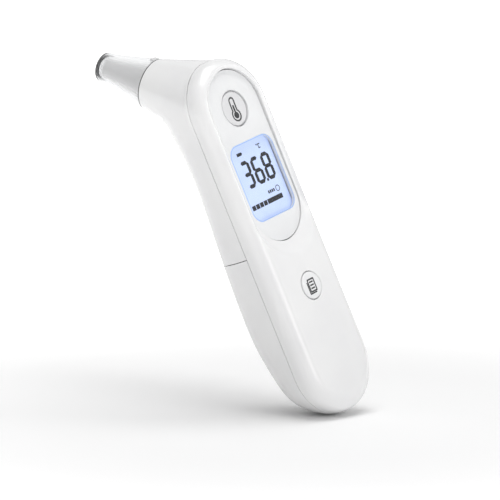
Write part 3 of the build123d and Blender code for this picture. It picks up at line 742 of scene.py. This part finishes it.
def shell_from(name, rings):
    """A shell whose outer skin runs through rings, held just behind the seam."""
    points = [(x * MM, max(y, SEAM) * MM, z * MM) for ring in rings for x, y, z in ring]
    data = mesh_from(name, points, bridge(len(rings), RING_POINTS + 1, closed=False))
    form = bmesh.new()
    form.from_mesh(data)
    bmesh.ops.remove_doubles(form, verts=form.verts, dist=0.00001)
    bmesh.ops.recalc_face_normals(form, faces=form.faces)
    middle = sum((v.co for v in form.verts), Vector()) / len(form.verts)
    outward = sum(1 if f.normal.dot(f.calc_center_median() - middle) > 0 else -1 for f in form.faces)
    if outward < 0:
        bmesh.ops.reverse_faces(form, faces=form.faces)
    form.to_mesh(data)
    form.free()
    data.materials.append(shell_white)
    return data


BACK_WALL = 1.6
SHELL_CREASE = 40


def fit_shell(name, rings, body, node):
    """Links a back shell and gives it its wall and its shading."""
    piece = link(name, shell_from(name, rings), body, [node])
    thicken(piece, BACK_WALL)
    smooth_by_angle(piece.data, SHELL_CREASE)


fit_shell("back_cover_shell", upper_rings, "handle", "back_cover")
fit_shell("battery_cover_shell", lower_rings, "battery_door", "battery_cover")

BAR_ROUND = 0.2


def rounded_bar(name, low, high, material):
    """A bar between two corners, in millimetres, with rounded edges."""
    form = bmesh.new()
    bmesh.ops.create_cube(form, size=1.0)
    size = Vector(high) - Vector(low)
    middle = (Vector(high) + Vector(low)) / 2
    bmesh.ops.scale(form, verts=form.verts, vec=size * MM)
    bmesh.ops.translate(form, verts=form.verts, vec=middle * MM)
    edges = form.edges[:]
    bmesh.ops.bevel(form, geom=edges, offset=BAR_ROUND * MM, segments=3, affect="EDGES", profile=0.5)
    data = bpy.data.meshes.new(name)
    form.to_mesh(data)
    form.free()
    smooth_by_angle(data)
    data.materials.append(material)
    return data


BAR_LOW = (-4, 18.2, JOINT_HEIGHT - 4)
BARS = {
    "battery_cover_tongue": (4, 20.4, JOINT_HEIGHT - 0.8),
    "battery_cover_tab": (4, 19.2, JOINT_HEIGHT + 2.9),
}
for name, bar_high in BARS.items():
    link(name, rounded_bar(name, BAR_LOW, bar_high, shell_white), "battery_door")

# Inset panel: a flat satin plate, moulded separately and glued on the ledge of the recess, with a round hole
# for the scan button and a rebate for the display window.
PANEL_FACE = -5.8
PANEL_BACK = -4.2
panel_white = moulded("panel_white", (0.77, 0.775, 0.785), (0.80, 0.805, 0.81), (0.34, 0.42), 12000.0)
SCAN_HEIGHT = scan_centre.z / MM
SCAN_HOLE = 7.35
DISPLAY_HEIGHT = 96.0 + LOWER_END
DISPLAY_HALF = (13.25, 15.6)
DISPLAY_CORNER = 5.0
PANEL_GAP = 0.3
CORNER_ANGLE = 1.2


def rounded_rectangle(half_width, half_height, corner, middle, steps=10):
    """Points round a rectangle with round corners, from the right side upwards."""
    loop = []
    for quadrant, (sx, sz) in enumerate(((1, 1), (-1, 1), (-1, -1), (1, -1))):
        for step in range(steps + 1):
            angle = pi / 2 * (quadrant + step / steps)
            x = sx * (half_width - corner) + corner * cos(angle)
            loop.append((x, middle + sz * (half_height - corner) + corner * sin(angle)))
    return loop


def plate(name, outline, front, back, material, holes=(), round_edge=0.12):
    """A flat plate with holes, from its outline, with its edges broken by a small radius."""
    form = bmesh.new()
    loops = [outline, *holes]
    edges = []
    for loop in loops:
        verts = [form.verts.new((x * MM, front * MM, z * MM)) for x, z in loop]
        edges += [form.edges.new((verts[i], verts[(i + 1) % len(verts)])) for i in range(len(verts))]
    bmesh.ops.triangle_fill(form, edges=edges, use_beauty=True, normal=(0, -1, 0))
    skin = form.faces[:]
    made = bmesh.ops.extrude_face_region(form, geom=skin)
    moved = [item for item in made["geom"] if isinstance(item, bmesh.types.BMVert)]
    bmesh.ops.translate(form, verts=moved, vec=(0, (back - front) * MM, 0))
    bmesh.ops.recalc_face_normals(form, faces=form.faces)
    if round_edge:
        rim = []
        for edge in form.edges:
            in_front = all(abs(v.co.y - front * MM) < 1e-6 for v in edge.verts)
            if in_front and len(edge.link_faces) == 2 and edge.calc_face_angle(0) > CORNER_ANGLE:
                rim.append(edge)
        bmesh.ops.bevel(form, geom=rim, offset=round_edge * MM, segments=2, affect="EDGES", profile=0.5)
    data = bpy.data.meshes.new(name)
    form.to_mesh(data)
    form.free()
    smooth_by_angle(data)
    data.materials.append(material)
    return data


def circle(radius, middle, steps=72, across=0.0):
    """Points round a circle."""
    angles = [2 * pi * s / steps for s in range(steps)]
    return [(across + radius * cos(angle), middle + radius * sin(angle)) for angle in angles]


def display_outline(inset):
    """The outline of the display's opening, drawn smaller by an amount."""
    half_width, half_height = DISPLAY_HALF
    return rounded_rectangle(half_width - inset, half_height - inset, DISPLAY_CORNER - inset, DISPLAY_HEIGHT)


panel_outline = stadium_loop(PANEL_HALF - PANEL_GAP, PANEL_LOW, TOP_CENTRE, 40, 12)
panel_holes = [circle(SCAN_HOLE, SCAN_HEIGHT), display_outline(0)]
panel_mesh = plate("inset_panel_plate", panel_outline, PANEL_FACE, PANEL_BACK, panel_white, panel_holes)
link("inset_panel_plate", panel_mesh, "handle", ["inset_panel"])

# Display: a clear window over the liquid crystal glass, whose dark segments stand on a pale blue lit
# ground. The glass sits in a moulded holder, and striped rubber joins it to the board.
WINDOW_GAP = 0.1
WINDOW_FACE = -5.72
WINDOW_BACK = -5.0
window_clear = cloudy(
    "window_clear", (0.96, 0.98, 1.0), (1.0, 1.0, 1.0), 30.0, Alpha=0.012, Roughness=0.04, IOR=1.49
)[0]
window_outline = display_outline(WINDOW_GAP)
window_mesh = plate("display_window_pane", window_outline, WINDOW_FACE, WINDOW_BACK, window_clear)
link("display_window_pane", window_mesh, "handle", ["display_window"])

lcd_blue, tree, shader = new_material("lcd_blue")
ground = mottle(tree, (0.45, 0.545, 0.80), (0.50, 0.595, 0.845), 60.0)
tree.links.new(ground, shader.inputs["Base Color"])
tree.links.new(ground, shader.inputs["Emission Color"])
shader.inputs["Emission Strength"].default_value = 0.32
shader.inputs["Roughness"].default_value = 0.35
LCD_FACE = -3.9
LCD_BACK = -3.1
LCD_HALF = (13.1, 16.3)
LCD_CORNER = 0.3
lcd_outline = rounded_rectangle(*LCD_HALF, LCD_CORNER, DISPLAY_HEIGHT, 3)
lcd_mesh = plate("lcd_glass_pane", lcd_outline, LCD_FACE, LCD_BACK, lcd_blue, round_edge=0)
link("lcd_glass_pane", lcd_mesh, "handle", ["lcd_glass"])
bezel_blue = cloudy("bezel_blue", (0.34, 0.50, 0.84), (0.40, 0.56, 0.88), 90.0, Roughness=0.3)[0]
BORDER_GAP = 0.13
BORDER_INSIDE = 0.5
BORDER_FACE = -5.75
BORDER_BACK = -5.73
border = display_outline(BORDER_GAP)
border_hole = display_outline(BORDER_INSIDE)
bezel_mesh = plate("window_border", border, BORDER_FACE, BORDER_BACK, bezel_blue, [border_hole], 0)
link("window_border", bezel_mesh, "handle")

segment_ink = cloudy("segment_ink", (0.006, 0.007, 0.011), (0.012, 0.013, 0.02), 200.0, Roughness=0.4)[0]
DIGIT_WIDTH = 5.3
DIGIT_HEIGHT = 11.0
STROKE = 1.5
READOUT_MIDDLE = SCAN_HEIGHT - 25.5
READOUT_LEFT = -7.9
DIGIT_PITCH = 6.35
DOT_SIZE = 1.1
DOT_BACK = 0.85
INK_FACE = LCD_FACE - 0.01
SEGMENT_GAP = 0.06
SEGMENTS = {"3": "abcdg", "6": "acdefg", "8": "abcdefg"}


def segment_outline(name, left, middle):
    """One segment of a digit, a bar with pointed ends, as across and height points."""
    half = STROKE / 2
    side = DIGIT_WIDTH - half
    tall = DIGIT_HEIGHT / 2 - half
    inner = DIGIT_WIDTH - 2 * half
    flat = [(half + SEGMENT_GAP, 0), (2 * half, half), (inner, half), (side - SEGMENT_GAP, 0)]
    flat += [(inner, -half), (2 * half, -half)]
    upright = [(0, SEGMENT_GAP), (half, half), (half, tall - half), (0, tall - SEGMENT_GAP)]
    upright += [(-half, tall - half), (-half, half)]
    if name in "adg":
        lift = {"a": tall, "d": -tall, "g": 0}[name]
        return [(left + x, middle + z + lift) for x, z in flat]
    across = {"b": side, "c": side, "e": half, "f": half}[name]
    lift = {"b": 0, "f": 0, "c": -tall, "e": -tall}[name]
    return [(left + across + x, middle + z + lift) for x, z in upright]


def print_flat(name, outlines, face, material, body, thickness=0.03):
    """A printed mark: thin flat shapes that lie on a face, whose place is a value or a rule."""
    form = bmesh.new()
    depth = face if callable(face) else lambda x, z: face
    for outline in outlines:
        verts = [form.verts.new((x * MM, depth(x, z) * MM, z * MM)) for x, z in outline]
        form.faces.new(verts)
    made = bmesh.ops.extrude_face_region(form, geom=form.faces[:])
    moved = [item for item in made["geom"] if isinstance(item, bmesh.types.BMVert)]
    bmesh.ops.translate(form, verts=moved, vec=(0, -thickness * MM, 0))
    bmesh.ops.recalc_face_normals(form, faces=form.faces)
    bmesh.ops.triangulate(form, faces=form.faces)
    data = bpy.data.meshes.new(name)
    form.to_mesh(data)
    form.free()
    data.materials.append(material)
    return link(name, data, body)


def box_outline(left, right, low, high):
    """A plain rectangle of across and height points."""
    return [(left, low), (right, low), (right, high), (left, high)]


def boxes_from(table, height):
    """Rectangles from rows of left, right, lower and upper edge, the last two from a given height."""
    return [box_outline(left, right, height + low, height + high) for left, right, low, high in table]


readout = []
for place, digit in enumerate("368"):
    left = READOUT_LEFT + place * DIGIT_PITCH
    readout += [segment_outline(s, left, READOUT_MIDDLE) for s in SEGMENTS[digit]]
dot_x = READOUT_LEFT + 2 * DIGIT_PITCH - DOT_BACK
dot_z = READOUT_MIDDLE - DIGIT_HEIGHT / 2
readout.append(box_outline(dot_x, dot_x + DOT_SIZE, dot_z, dot_z + DOT_SIZE))
print_flat("readout_digits", readout, INK_FACE, segment_ink, "handle")
# Rows of left, right, lower and upper edge, with heights from the scan button's centre
CELL_MARK = [(-7.3, -4.5, -17.7, -16.4), (-4.5, -4.1, -17.4, -16.7)]
DEGREE_MARK = [(5.2, 5.8, -16.6, -16.0)]
LETTER_MARK = [(6.2, 7.5, -16.5, -16.1), (6.2, 6.6, -17.6, -16.5), (6.2, 7.5, -18.0, -17.6)]
SHORT_BARS = [(-10.2 + 2.45 * step, -8.1 + 2.45 * step, -39.2, -37.3) for step in range(4)]
LONG_BAR = [(-0.4, 9.0, -39.2, -37.3)]
DOT_ROW = [(1.8 + 1.1 * step, 2.6 + 1.1 * step, -35.6, -34.4) for step in range(4)]
marks = boxes_from(CELL_MARK + DEGREE_MARK + LETTER_MARK + SHORT_BARS + LONG_BAR + DOT_ROW, SCAN_HEIGHT)
print_flat("readout_marks", marks, INK_FACE, segment_ink, "handle")


def ring_outlines(wide, narrow):
    """Quads that fill the band between two outlines with as many points."""
    quads = []
    for index in range(len(wide)):
        after = (index + 1) % len(wide)
        quads.append([wide[index], wide[after], narrow[after], narrow[index]])
    return quads


FACE_MARK_X = 7.9
FACE_MARK_HEIGHT = SCAN_HEIGHT - 35.0
face_circles = [circle(radius, FACE_MARK_HEIGHT, 28, FACE_MARK_X) for radius in (1.25, 0.95)]
print_flat("readout_ring_mark", ring_outlines(*face_circles), INK_FACE, segment_ink, "handle")

# Scan and memory buttons: moulded caps with a dished or flat face and rounded rims, each on a flange that
# holds it behind the cover. Their symbols are pad printed.
button_white = moulded("button_white", (0.79, 0.79, 0.80), (0.82, 0.82, 0.825), (0.22, 0.3), *FINE_GRAIN, 0.2)
SCAN_RADIUS = 6.75
SCAN_DISH = 0.35
scan_face = scan_low.y / MM
DISH_RADIUS = 5.9
BUTTON_ROUND = 0.45
INK_DEPTH = 0.05


def button_rim(face, radius, angles):
    """The rounded rim of a button, as points for the lathe."""
    reach = radius - BUTTON_ROUND
    return [(face + BUTTON_ROUND * (1 - sin(a)), reach + BUTTON_ROUND * cos(a)) for a in angles]


dish_radii = (0, 1, 2, 3, 4, 5, 5.5, DISH_RADIUS)
profile = [(scan_face + SCAN_DISH * (1 - (r / DISH_RADIUS) ** 2), r) for r in dish_radii]
profile += button_rim(scan_face, SCAN_RADIUS, (pi / 2, pi / 3, pi / 6, 0))
profile += [(-4.12, SCAN_RADIUS), (-4.1, 8.0), (-3.5, 8.0), (-3.5, 2.0), (-2.92, 2.0), (-2.92, 0)]
# The scan cap is the same white plastic as the memory cap, drawn darker: painted shade for its dished,
# recessed face.
scan_white_painted_shade = moulded("scan_white_painted_shade", (0.68, 0.68, 0.69), (0.71, 0.71, 0.72), (0.3, 0.38), *FINE_GRAIN)
scan_mesh = lathe("scan_button_cap", profile, (0, 0, scan_centre.z), (0, 1, 0), 96, scan_white_painted_shade)
link("scan_button_cap", scan_mesh, "scan_key", ["scan_button"])
symbol_ink = cloudy("symbol_ink", (0.035, 0.035, 0.037), (0.055, 0.055, 0.058), 300.0, Roughness=0.5)[0]
ICON_MIDDLE = SCAN_HEIGHT - 0.2
STEM_HALF = 1.6
BULB = 2.55
bulb_z = ICON_MIDDLE - 2.5
stem_top = ICON_MIDDLE + 4.9 - STEM_HALF
LINE = 0.62
STEM_STEPS = 16
BULB_STEPS = 32


def thermometer_outline(shrink):
    """The outline of a thermometer symbol: a round bulb with a stem, drawn smaller by an amount."""
    stem = STEM_HALF - shrink
    bulb = BULB - shrink
    meet = asin(stem / bulb)
    angles = [pi * step / STEM_STEPS for step in range(STEM_STEPS + 1)]
    loop = [(stem * cos(angle), stem_top + stem * sin(angle)) for angle in angles]
    turn_start = pi / 2 + meet
    for step in range(BULB_STEPS + 1):
        angle = turn_start + (2 * pi - 2 * meet) * step / BULB_STEPS
        loop.append((bulb * cos(angle), bulb_z + bulb * sin(angle)))
    return loop


def dish_face(across, height):
    """Where the dished face of the scan button lies."""
    return scan_face + SCAN_DISH * max(0.0, 1 - (hypot(across, height - SCAN_HEIGHT) / DISH_RADIUS) ** 2)


icon = ring_outlines(thermometer_outline(0), thermometer_outline(LINE))
FILLED_BULB = 1.35
FILLED_HALF = 0.42
icon.append(circle(FILLED_BULB, bulb_z, 32))
icon.append(box_outline(-FILLED_HALF, FILLED_HALF, bulb_z + 1.2, ICON_MIDDLE + 1.6))
print_flat("scan_symbol", icon, dish_face, symbol_ink, "scan_key", INK_DEPTH)

MEMORY_FACE = memory_low.y / MM
MEMORY_RADIUS = 5.4
profile = [(MEMORY_FACE, r) for r in (0, 2, 4, 4.9)]
profile += button_rim(MEMORY_FACE, MEMORY_RADIUS, (pi / 3, pi / 6, 0))
profile += [(-6.52, MEMORY_RADIUS), (-6.5, 6.6), (-5.9, 6.6), (-5.9, 2.0), (-2.92, 2.0), (-2.92, 0)]
memory_mesh = lathe("memory_button_cap", profile, memory_centre, (0, 1, 0), 96, button_white)
link("memory_button_cap", memory_mesh, "memory_key", ["memory_button"])
memory_z = MEMORY_HEIGHT / MM
# Half width, half height and corner radius of the sheet and of its inner edge
SHEET = (2.1, 2.7, 0.4)
SHEET_INSIDE = (1.5, 2.1, 0.2)
SHEET_LINES = [(-1.1, 1.1, 1.3 - step * 1.25 - 0.3, 1.3 - step * 1.25 + 0.3) for step in range(3)]
SHEET_BEHIND = [(-2.75, -2.2, -2.9, 1.6), (-2.75, 1.4, -3.35, -2.8)]
sheet_edges = [rounded_rectangle(*sheet, memory_z, 4) for sheet in (SHEET, SHEET_INSIDE)]
sheet_marks = ring_outlines(*sheet_edges) + boxes_from(SHEET_LINES + SHEET_BEHIND, memory_z)
sheet_face = MEMORY_FACE + 0.02
print_flat("memory_symbol", sheet_marks, sheet_face, symbol_ink, "memory_key", INK_DEPTH)

# Probe: a grey inner cone carries the sensor, and a clear hard cap snaps over it. The cap ends in a soft
# dark ring with a thin film across it, and a dark seal fills the gap at the neck.
probe_foot = Vector((0, *PROBE_BASE)) * MM
TIP_RADIUS = 6.0
LAND_START = 23.7
CONE_START = 0.5
FOOT_STEP = 0.05
CONE_HOLLOW = 1.18


def cone_radius(distance):
    """The cap's outer radius along the probe: a slightly hollow cone that ends in a short parallel land."""
    share = max(0.0, (LAND_START - distance) / (LAND_START - CONE_START))
    return TIP_RADIUS + (PROBE_BASE_RADIUS - FOOT_STEP - TIP_RADIUS) * share**CONE_HOLLOW


nozzle_grey = moulded("nozzle_grey", (0.63, 0.63, 0.635), (0.67, 0.67, 0.675), (0.3, 0.4), 12000.0, 0.000003)
NOZZLE_GAP = 1.45
NOZZLE_INSIDE = 2.75
NOZZLE_END = 23.4
NOZZLE_STEPS = 24
BORE = 3.65
nozzle_steps = [CONE_START + (NOZZLE_END - CONE_START) * s / NOZZLE_STEPS for s in range(NOZZLE_STEPS + 1)]
profile = [(-8, 7.3), (-8, 8.7), (0.02, 8.7), (0.02, cone_radius(CONE_START) - NOZZLE_GAP)]
profile += [(d, cone_radius(d) - NOZZLE_GAP) for d in nozzle_steps[:-1]]
profile += [(23.25, 4.45), (NOZZLE_END, 4.2), (NOZZLE_END, BORE)]
profile += [(d, max(cone_radius(d) - NOZZLE_INSIDE, BORE)) for d in nozzle_steps[::-1][1:]]
nozzle_mesh = lathe("probe_nozzle_cone", profile + [profile[0]], probe_foot, PROBE_AXIS, 96, nozzle_grey)
link("probe_nozzle_cone", nozzle_mesh, "handle", ["probe_nozzle"])

cap_colours = ((0.93, 0.94, 0.95), (0.97, 0.975, 0.98))
cap_clear, tree, shader = cloudy("cap_clear", *cap_colours, 40.0, Roughness=0.12, IOR=1.5)
rim = add(tree, "ShaderNodeLayerWeight", Blend=0.35)
veil = add(tree, "ShaderNodeMapRange", From_Min=0.25, From_Max=0.62, To_Min=0.07, To_Max=0.93)
veil.interpolation_type = "SMOOTHSTEP"
join(tree, rim, "Facing", veil, "Value")
join(tree, veil, "Result", shader, "Alpha")
CAP_STEPS = 30
CAP_WALL = 1.2
cap_steps = [CONE_START + (LAND_START - CONE_START) * s / CAP_STEPS for s in range(CAP_STEPS + 1)]
profile = [(d, cone_radius(d)) for d in cap_steps]
profile += [(24.6, 6.0), (24.85, 5.93), (25.0, 5.75), (25.0, 4.2), (23.8, 4.2), (23.8, 4.8)]
profile += [(d, cone_radius(d) - CAP_WALL) for d in cap_steps[::-1]]
cap_mesh = lathe("probe_cap_shell", profile + [profile[0]], probe_foot, PROBE_AXIS, 128, cap_clear)
link("probe_cap_shell", cap_mesh, "cap", ["probe_cap"])

ring_dark = moulded("ring_dark", (0.10, 0.10, 0.103), (0.13, 0.13, 0.133), (0.45, 0.6), 9000.0, 0.000006)
seal_black = moulded("seal_black", (0.018, 0.018, 0.02), (0.03, 0.03, 0.032), (0.5, 0.65), 9000.0, 0.000006)
seal_profile = [(0.03, 8.75), (0.03, 10.45), (0.25, 10.5), (0.47, 10.45), (0.47, 9.4), (0.03, 8.75)]
seal_mesh = lathe("probe_seal_ring", seal_profile, probe_foot, PROBE_AXIS, 128, seal_black)
link("probe_seal_ring", seal_mesh, "handle", ["probe_seal"])
profile = [(25.0, 4.25), (25.0, 5.9), (25.45, 5.9), (25.72, 5.78)]
profile += [(25.88, 5.5), (25.9, 5.2), (25.82, 4.6), (25.6, 4.25)]
ring_mesh = lathe("tip_ring_soft", profile + [profile[0]], probe_foot, PROBE_AXIS, 96, ring_dark)
link("tip_ring_soft", ring_mesh, "cap", ["tip_ring"])
KEY_DROP = 0.75
key_mesh = rounded_bar("cap_key", (-1.6, -0.9, -0.2), (1.6, 0.95, 1.8), nozzle_grey)
key_up = Vector((0, -sin(PROBE_ANGLE), cos(PROBE_ANGLE)))
key_turn = Matrix((Vector((1, 0, 0)), key_up, PROBE_AXIS)).transposed().to_4x4()
key_foot = probe_foot + key_up * (PROBE_BASE_RADIUS - KEY_DROP) * MM + PROBE_AXIS * CONE_START * MM
key_mesh.transform(Matrix.Translation(key_foot) @ key_turn)
link("cap_key", key_mesh, "cap")

# Inner pieces: boards, cells, screws, springs and the sensor stay as they were made, and each gets the
# look of its own material.
PLASTICS = (
    ("holder_white", (0.70, 0.70, 0.69), (0.76, 0.76, 0.75), (0.5, 0.6)),
    ("switch_body", (0.10, 0.10, 0.11), (0.14, 0.14, 0.15), (0.4, 0.5)),
    ("plunger_black", (0.012, 0.012, 0.013), (0.02, 0.02, 0.021), (0.35, 0.5)),
    ("chip_black", (0.014, 0.014, 0.015), (0.024, 0.024, 0.025), (0.5, 0.62), 16000.0, 0.000006),
    ("connector_white", (0.62, 0.59, 0.52), (0.68, 0.65, 0.57), (0.4, 0.5)),
)
inner_looks = {look[0]: moulded(*look) for look in PLASTICS}


def metal(name, low, high, gloss):
    """Bare metal with fine marks and uneven polish."""
    material, tree, shader = cloudy(name, low, high, 200.0, Metallic=1.0)
    uneven_gloss(tree, shader, *gloss, 400.0)
    grain(tree, shader, 6000.0, 0.000003)
    return material


METALS = (
    ("screw_steel", (0.50, 0.51, 0.53), (0.60, 0.61, 0.62), (0.25, 0.4)),
    ("spring_steel", (0.62, 0.62, 0.60), (0.70, 0.70, 0.68), (0.22, 0.35)),
    ("sleeve_metal", (0.55, 0.56, 0.58), (0.63, 0.64, 0.66), (0.28, 0.4)),
    ("can_metal", (0.66, 0.66, 0.67), (0.74, 0.74, 0.75), (0.16, 0.28)),
    ("guide_brass", (0.78, 0.56, 0.25), (0.86, 0.64, 0.32), (0.12, 0.22)),
)
for look in METALS:
    inner_looks[look[0]] = metal(*look)

board_green, tree, shader = new_material("board_green")
tracks = add(
    tree, "ShaderNodeTexBrick", Scale=260.0, Mortar_Size=0.03, Mortar_Smooth=0.2,
    Color1=(0.012, 0.115, 0.045, 1), Color2=(0.014, 0.135, 0.052, 1), Mortar=(0.03, 0.22, 0.09, 1),
)
turned = add(tree, "ShaderNodeMapping", Rotation=(pi / 2, 0, 0))
texture_place(tree, turned)
join(tree, turned, "Vector", tracks, "Vector")
join(tree, tracks, "Color", shader, "Base Color")
uneven_gloss(tree, shader, 0.28, 0.4, 150.0)
inner_looks["board_green"] = board_green


def striped(name, scale, low, high, gloss):
    """Fine lines in two colours."""
    material, tree, shader = new_material(name)
    lines = add(tree, "ShaderNodeTexWave", Scale=scale, Distortion=0.0)
    ramp = add(tree, "ShaderNodeValToRGB")
    ramp.color_ramp.elements[0].color = (*low, 1)
    ramp.color_ramp.elements[1].color = (*high, 1)
    texture_place(tree, lines)
    join(tree, lines, "Fac", ramp, "Fac")
    join(tree, ramp, "Color", shader, "Base Color")
    uneven_gloss(tree, shader, *gloss)
    inner_looks[name] = material


striped("strip_rubber", 900.0, (0.02, 0.02, 0.022), (0.45, 0.20, 0.22), (0.6, 0.75, 150.0))

backlight_blue, tree, shader = cloudy(
    "backlight_blue", (0.55, 0.70, 0.95), (0.66, 0.79, 0.98), 80.0,
    Emission_Color=(0.45, 0.62, 0.95, 1), Emission_Strength=0.15,
)
uneven_gloss(tree, shader, 0.15, 0.25, 90.0)
inner_looks["backlight_blue"] = backlight_blue

striped("ribbon_amber", 600.0, (0.42, 0.16, 0.02), (0.62, 0.30, 0.06), (0.2, 0.3, 120.0))


def cell_look(name, positive_up):
    """A printed cell jacket, dark with a copper band at the positive end."""
    copper = (0.60, 0.26, 0.06, 1)
    graphite = (0.035, 0.04, 0.05, 1)
    material, tree, shader = new_material(name)
    height = add(tree, "ShaderNodeSeparateXYZ")
    span = add(tree, "ShaderNodeMapRange", From_Min=-0.0435, From_Max=0.0042)
    bands = add(tree, "ShaderNodeValToRGB")
    bands.color_ramp.interpolation = "CONSTANT"
    bands.color_ramp.elements[0].color = graphite if positive_up else copper
    bands.color_ramp.elements[1].position = 0.72 if positive_up else 0.28
    bands.color_ramp.elements[1].color = copper if positive_up else graphite
    texture_place(tree, height)
    join(tree, height, "Z", span, "Value")
    join(tree, span, "Result", bands, "Fac")
    join(tree, bands, "Color", shader, "Base Color")
    uneven_gloss(tree, shader, 0.22, 0.34, 200.0)
    grain(tree, shader, 3000.0, 0.000004)
    return material


for name, positive_up in (("cell_jacket", True), ("cell_jacket_turned", False)):
    inner_looks[name] = cell_look(name, positive_up)

window_dark, tree, shader = cloudy("window_dark", (0.02, 0.025, 0.04), (0.05, 0.055, 0.08), 400.0)
uneven_gloss(tree, shader, 0.04, 0.08, 300.0)
inner_looks["window_dark"] = window_dark

film_clear, tree, shader = cloudy("film_clear", (0.86, 0.88, 0.90), (0.92, 0.93, 0.95), 300.0, Alpha=0.35)
uneven_gloss(tree, shader, 0.08, 0.16, 400.0)
inner_looks["film_clear"] = film_clear

node_looks = {
    "holder_white": ["lcd_holder", "battery_tray"],
    "strip_rubber": ["contact_strips"],
    "backlight_blue": ["backlight"],
    "board_green": ["main_board"],
    "switch_body": ["scan_switch", "memory_switch"],
    "plunger_black": ["scan_plunger", "memory_plunger"],
    "chip_black": ["processor", "buzzer"],
    "connector_white": ["sensor_connector"],
    "ribbon_amber": ["sensor_ribbon"],
    "screw_steel": ["board_screws", "tray_screws"],
    "spring_steel": ["contact_plates", "contact_springs"],
    "cell_jacket": ["battery_left"],
    "cell_jacket_turned": ["battery_right"],
    "sleeve_metal": ["sensor_sleeve"],
    "can_metal": ["thermopile"],
    "guide_brass": ["waveguide"],
    "window_dark": ["sensor_window"],
    "film_clear": ["cap_film"],
}
for look, names in node_looks.items():
    for name in names:
        for place in nodes[name].material_slots:
            place.link = "OBJECT"
            place.material = inner_looks[look]
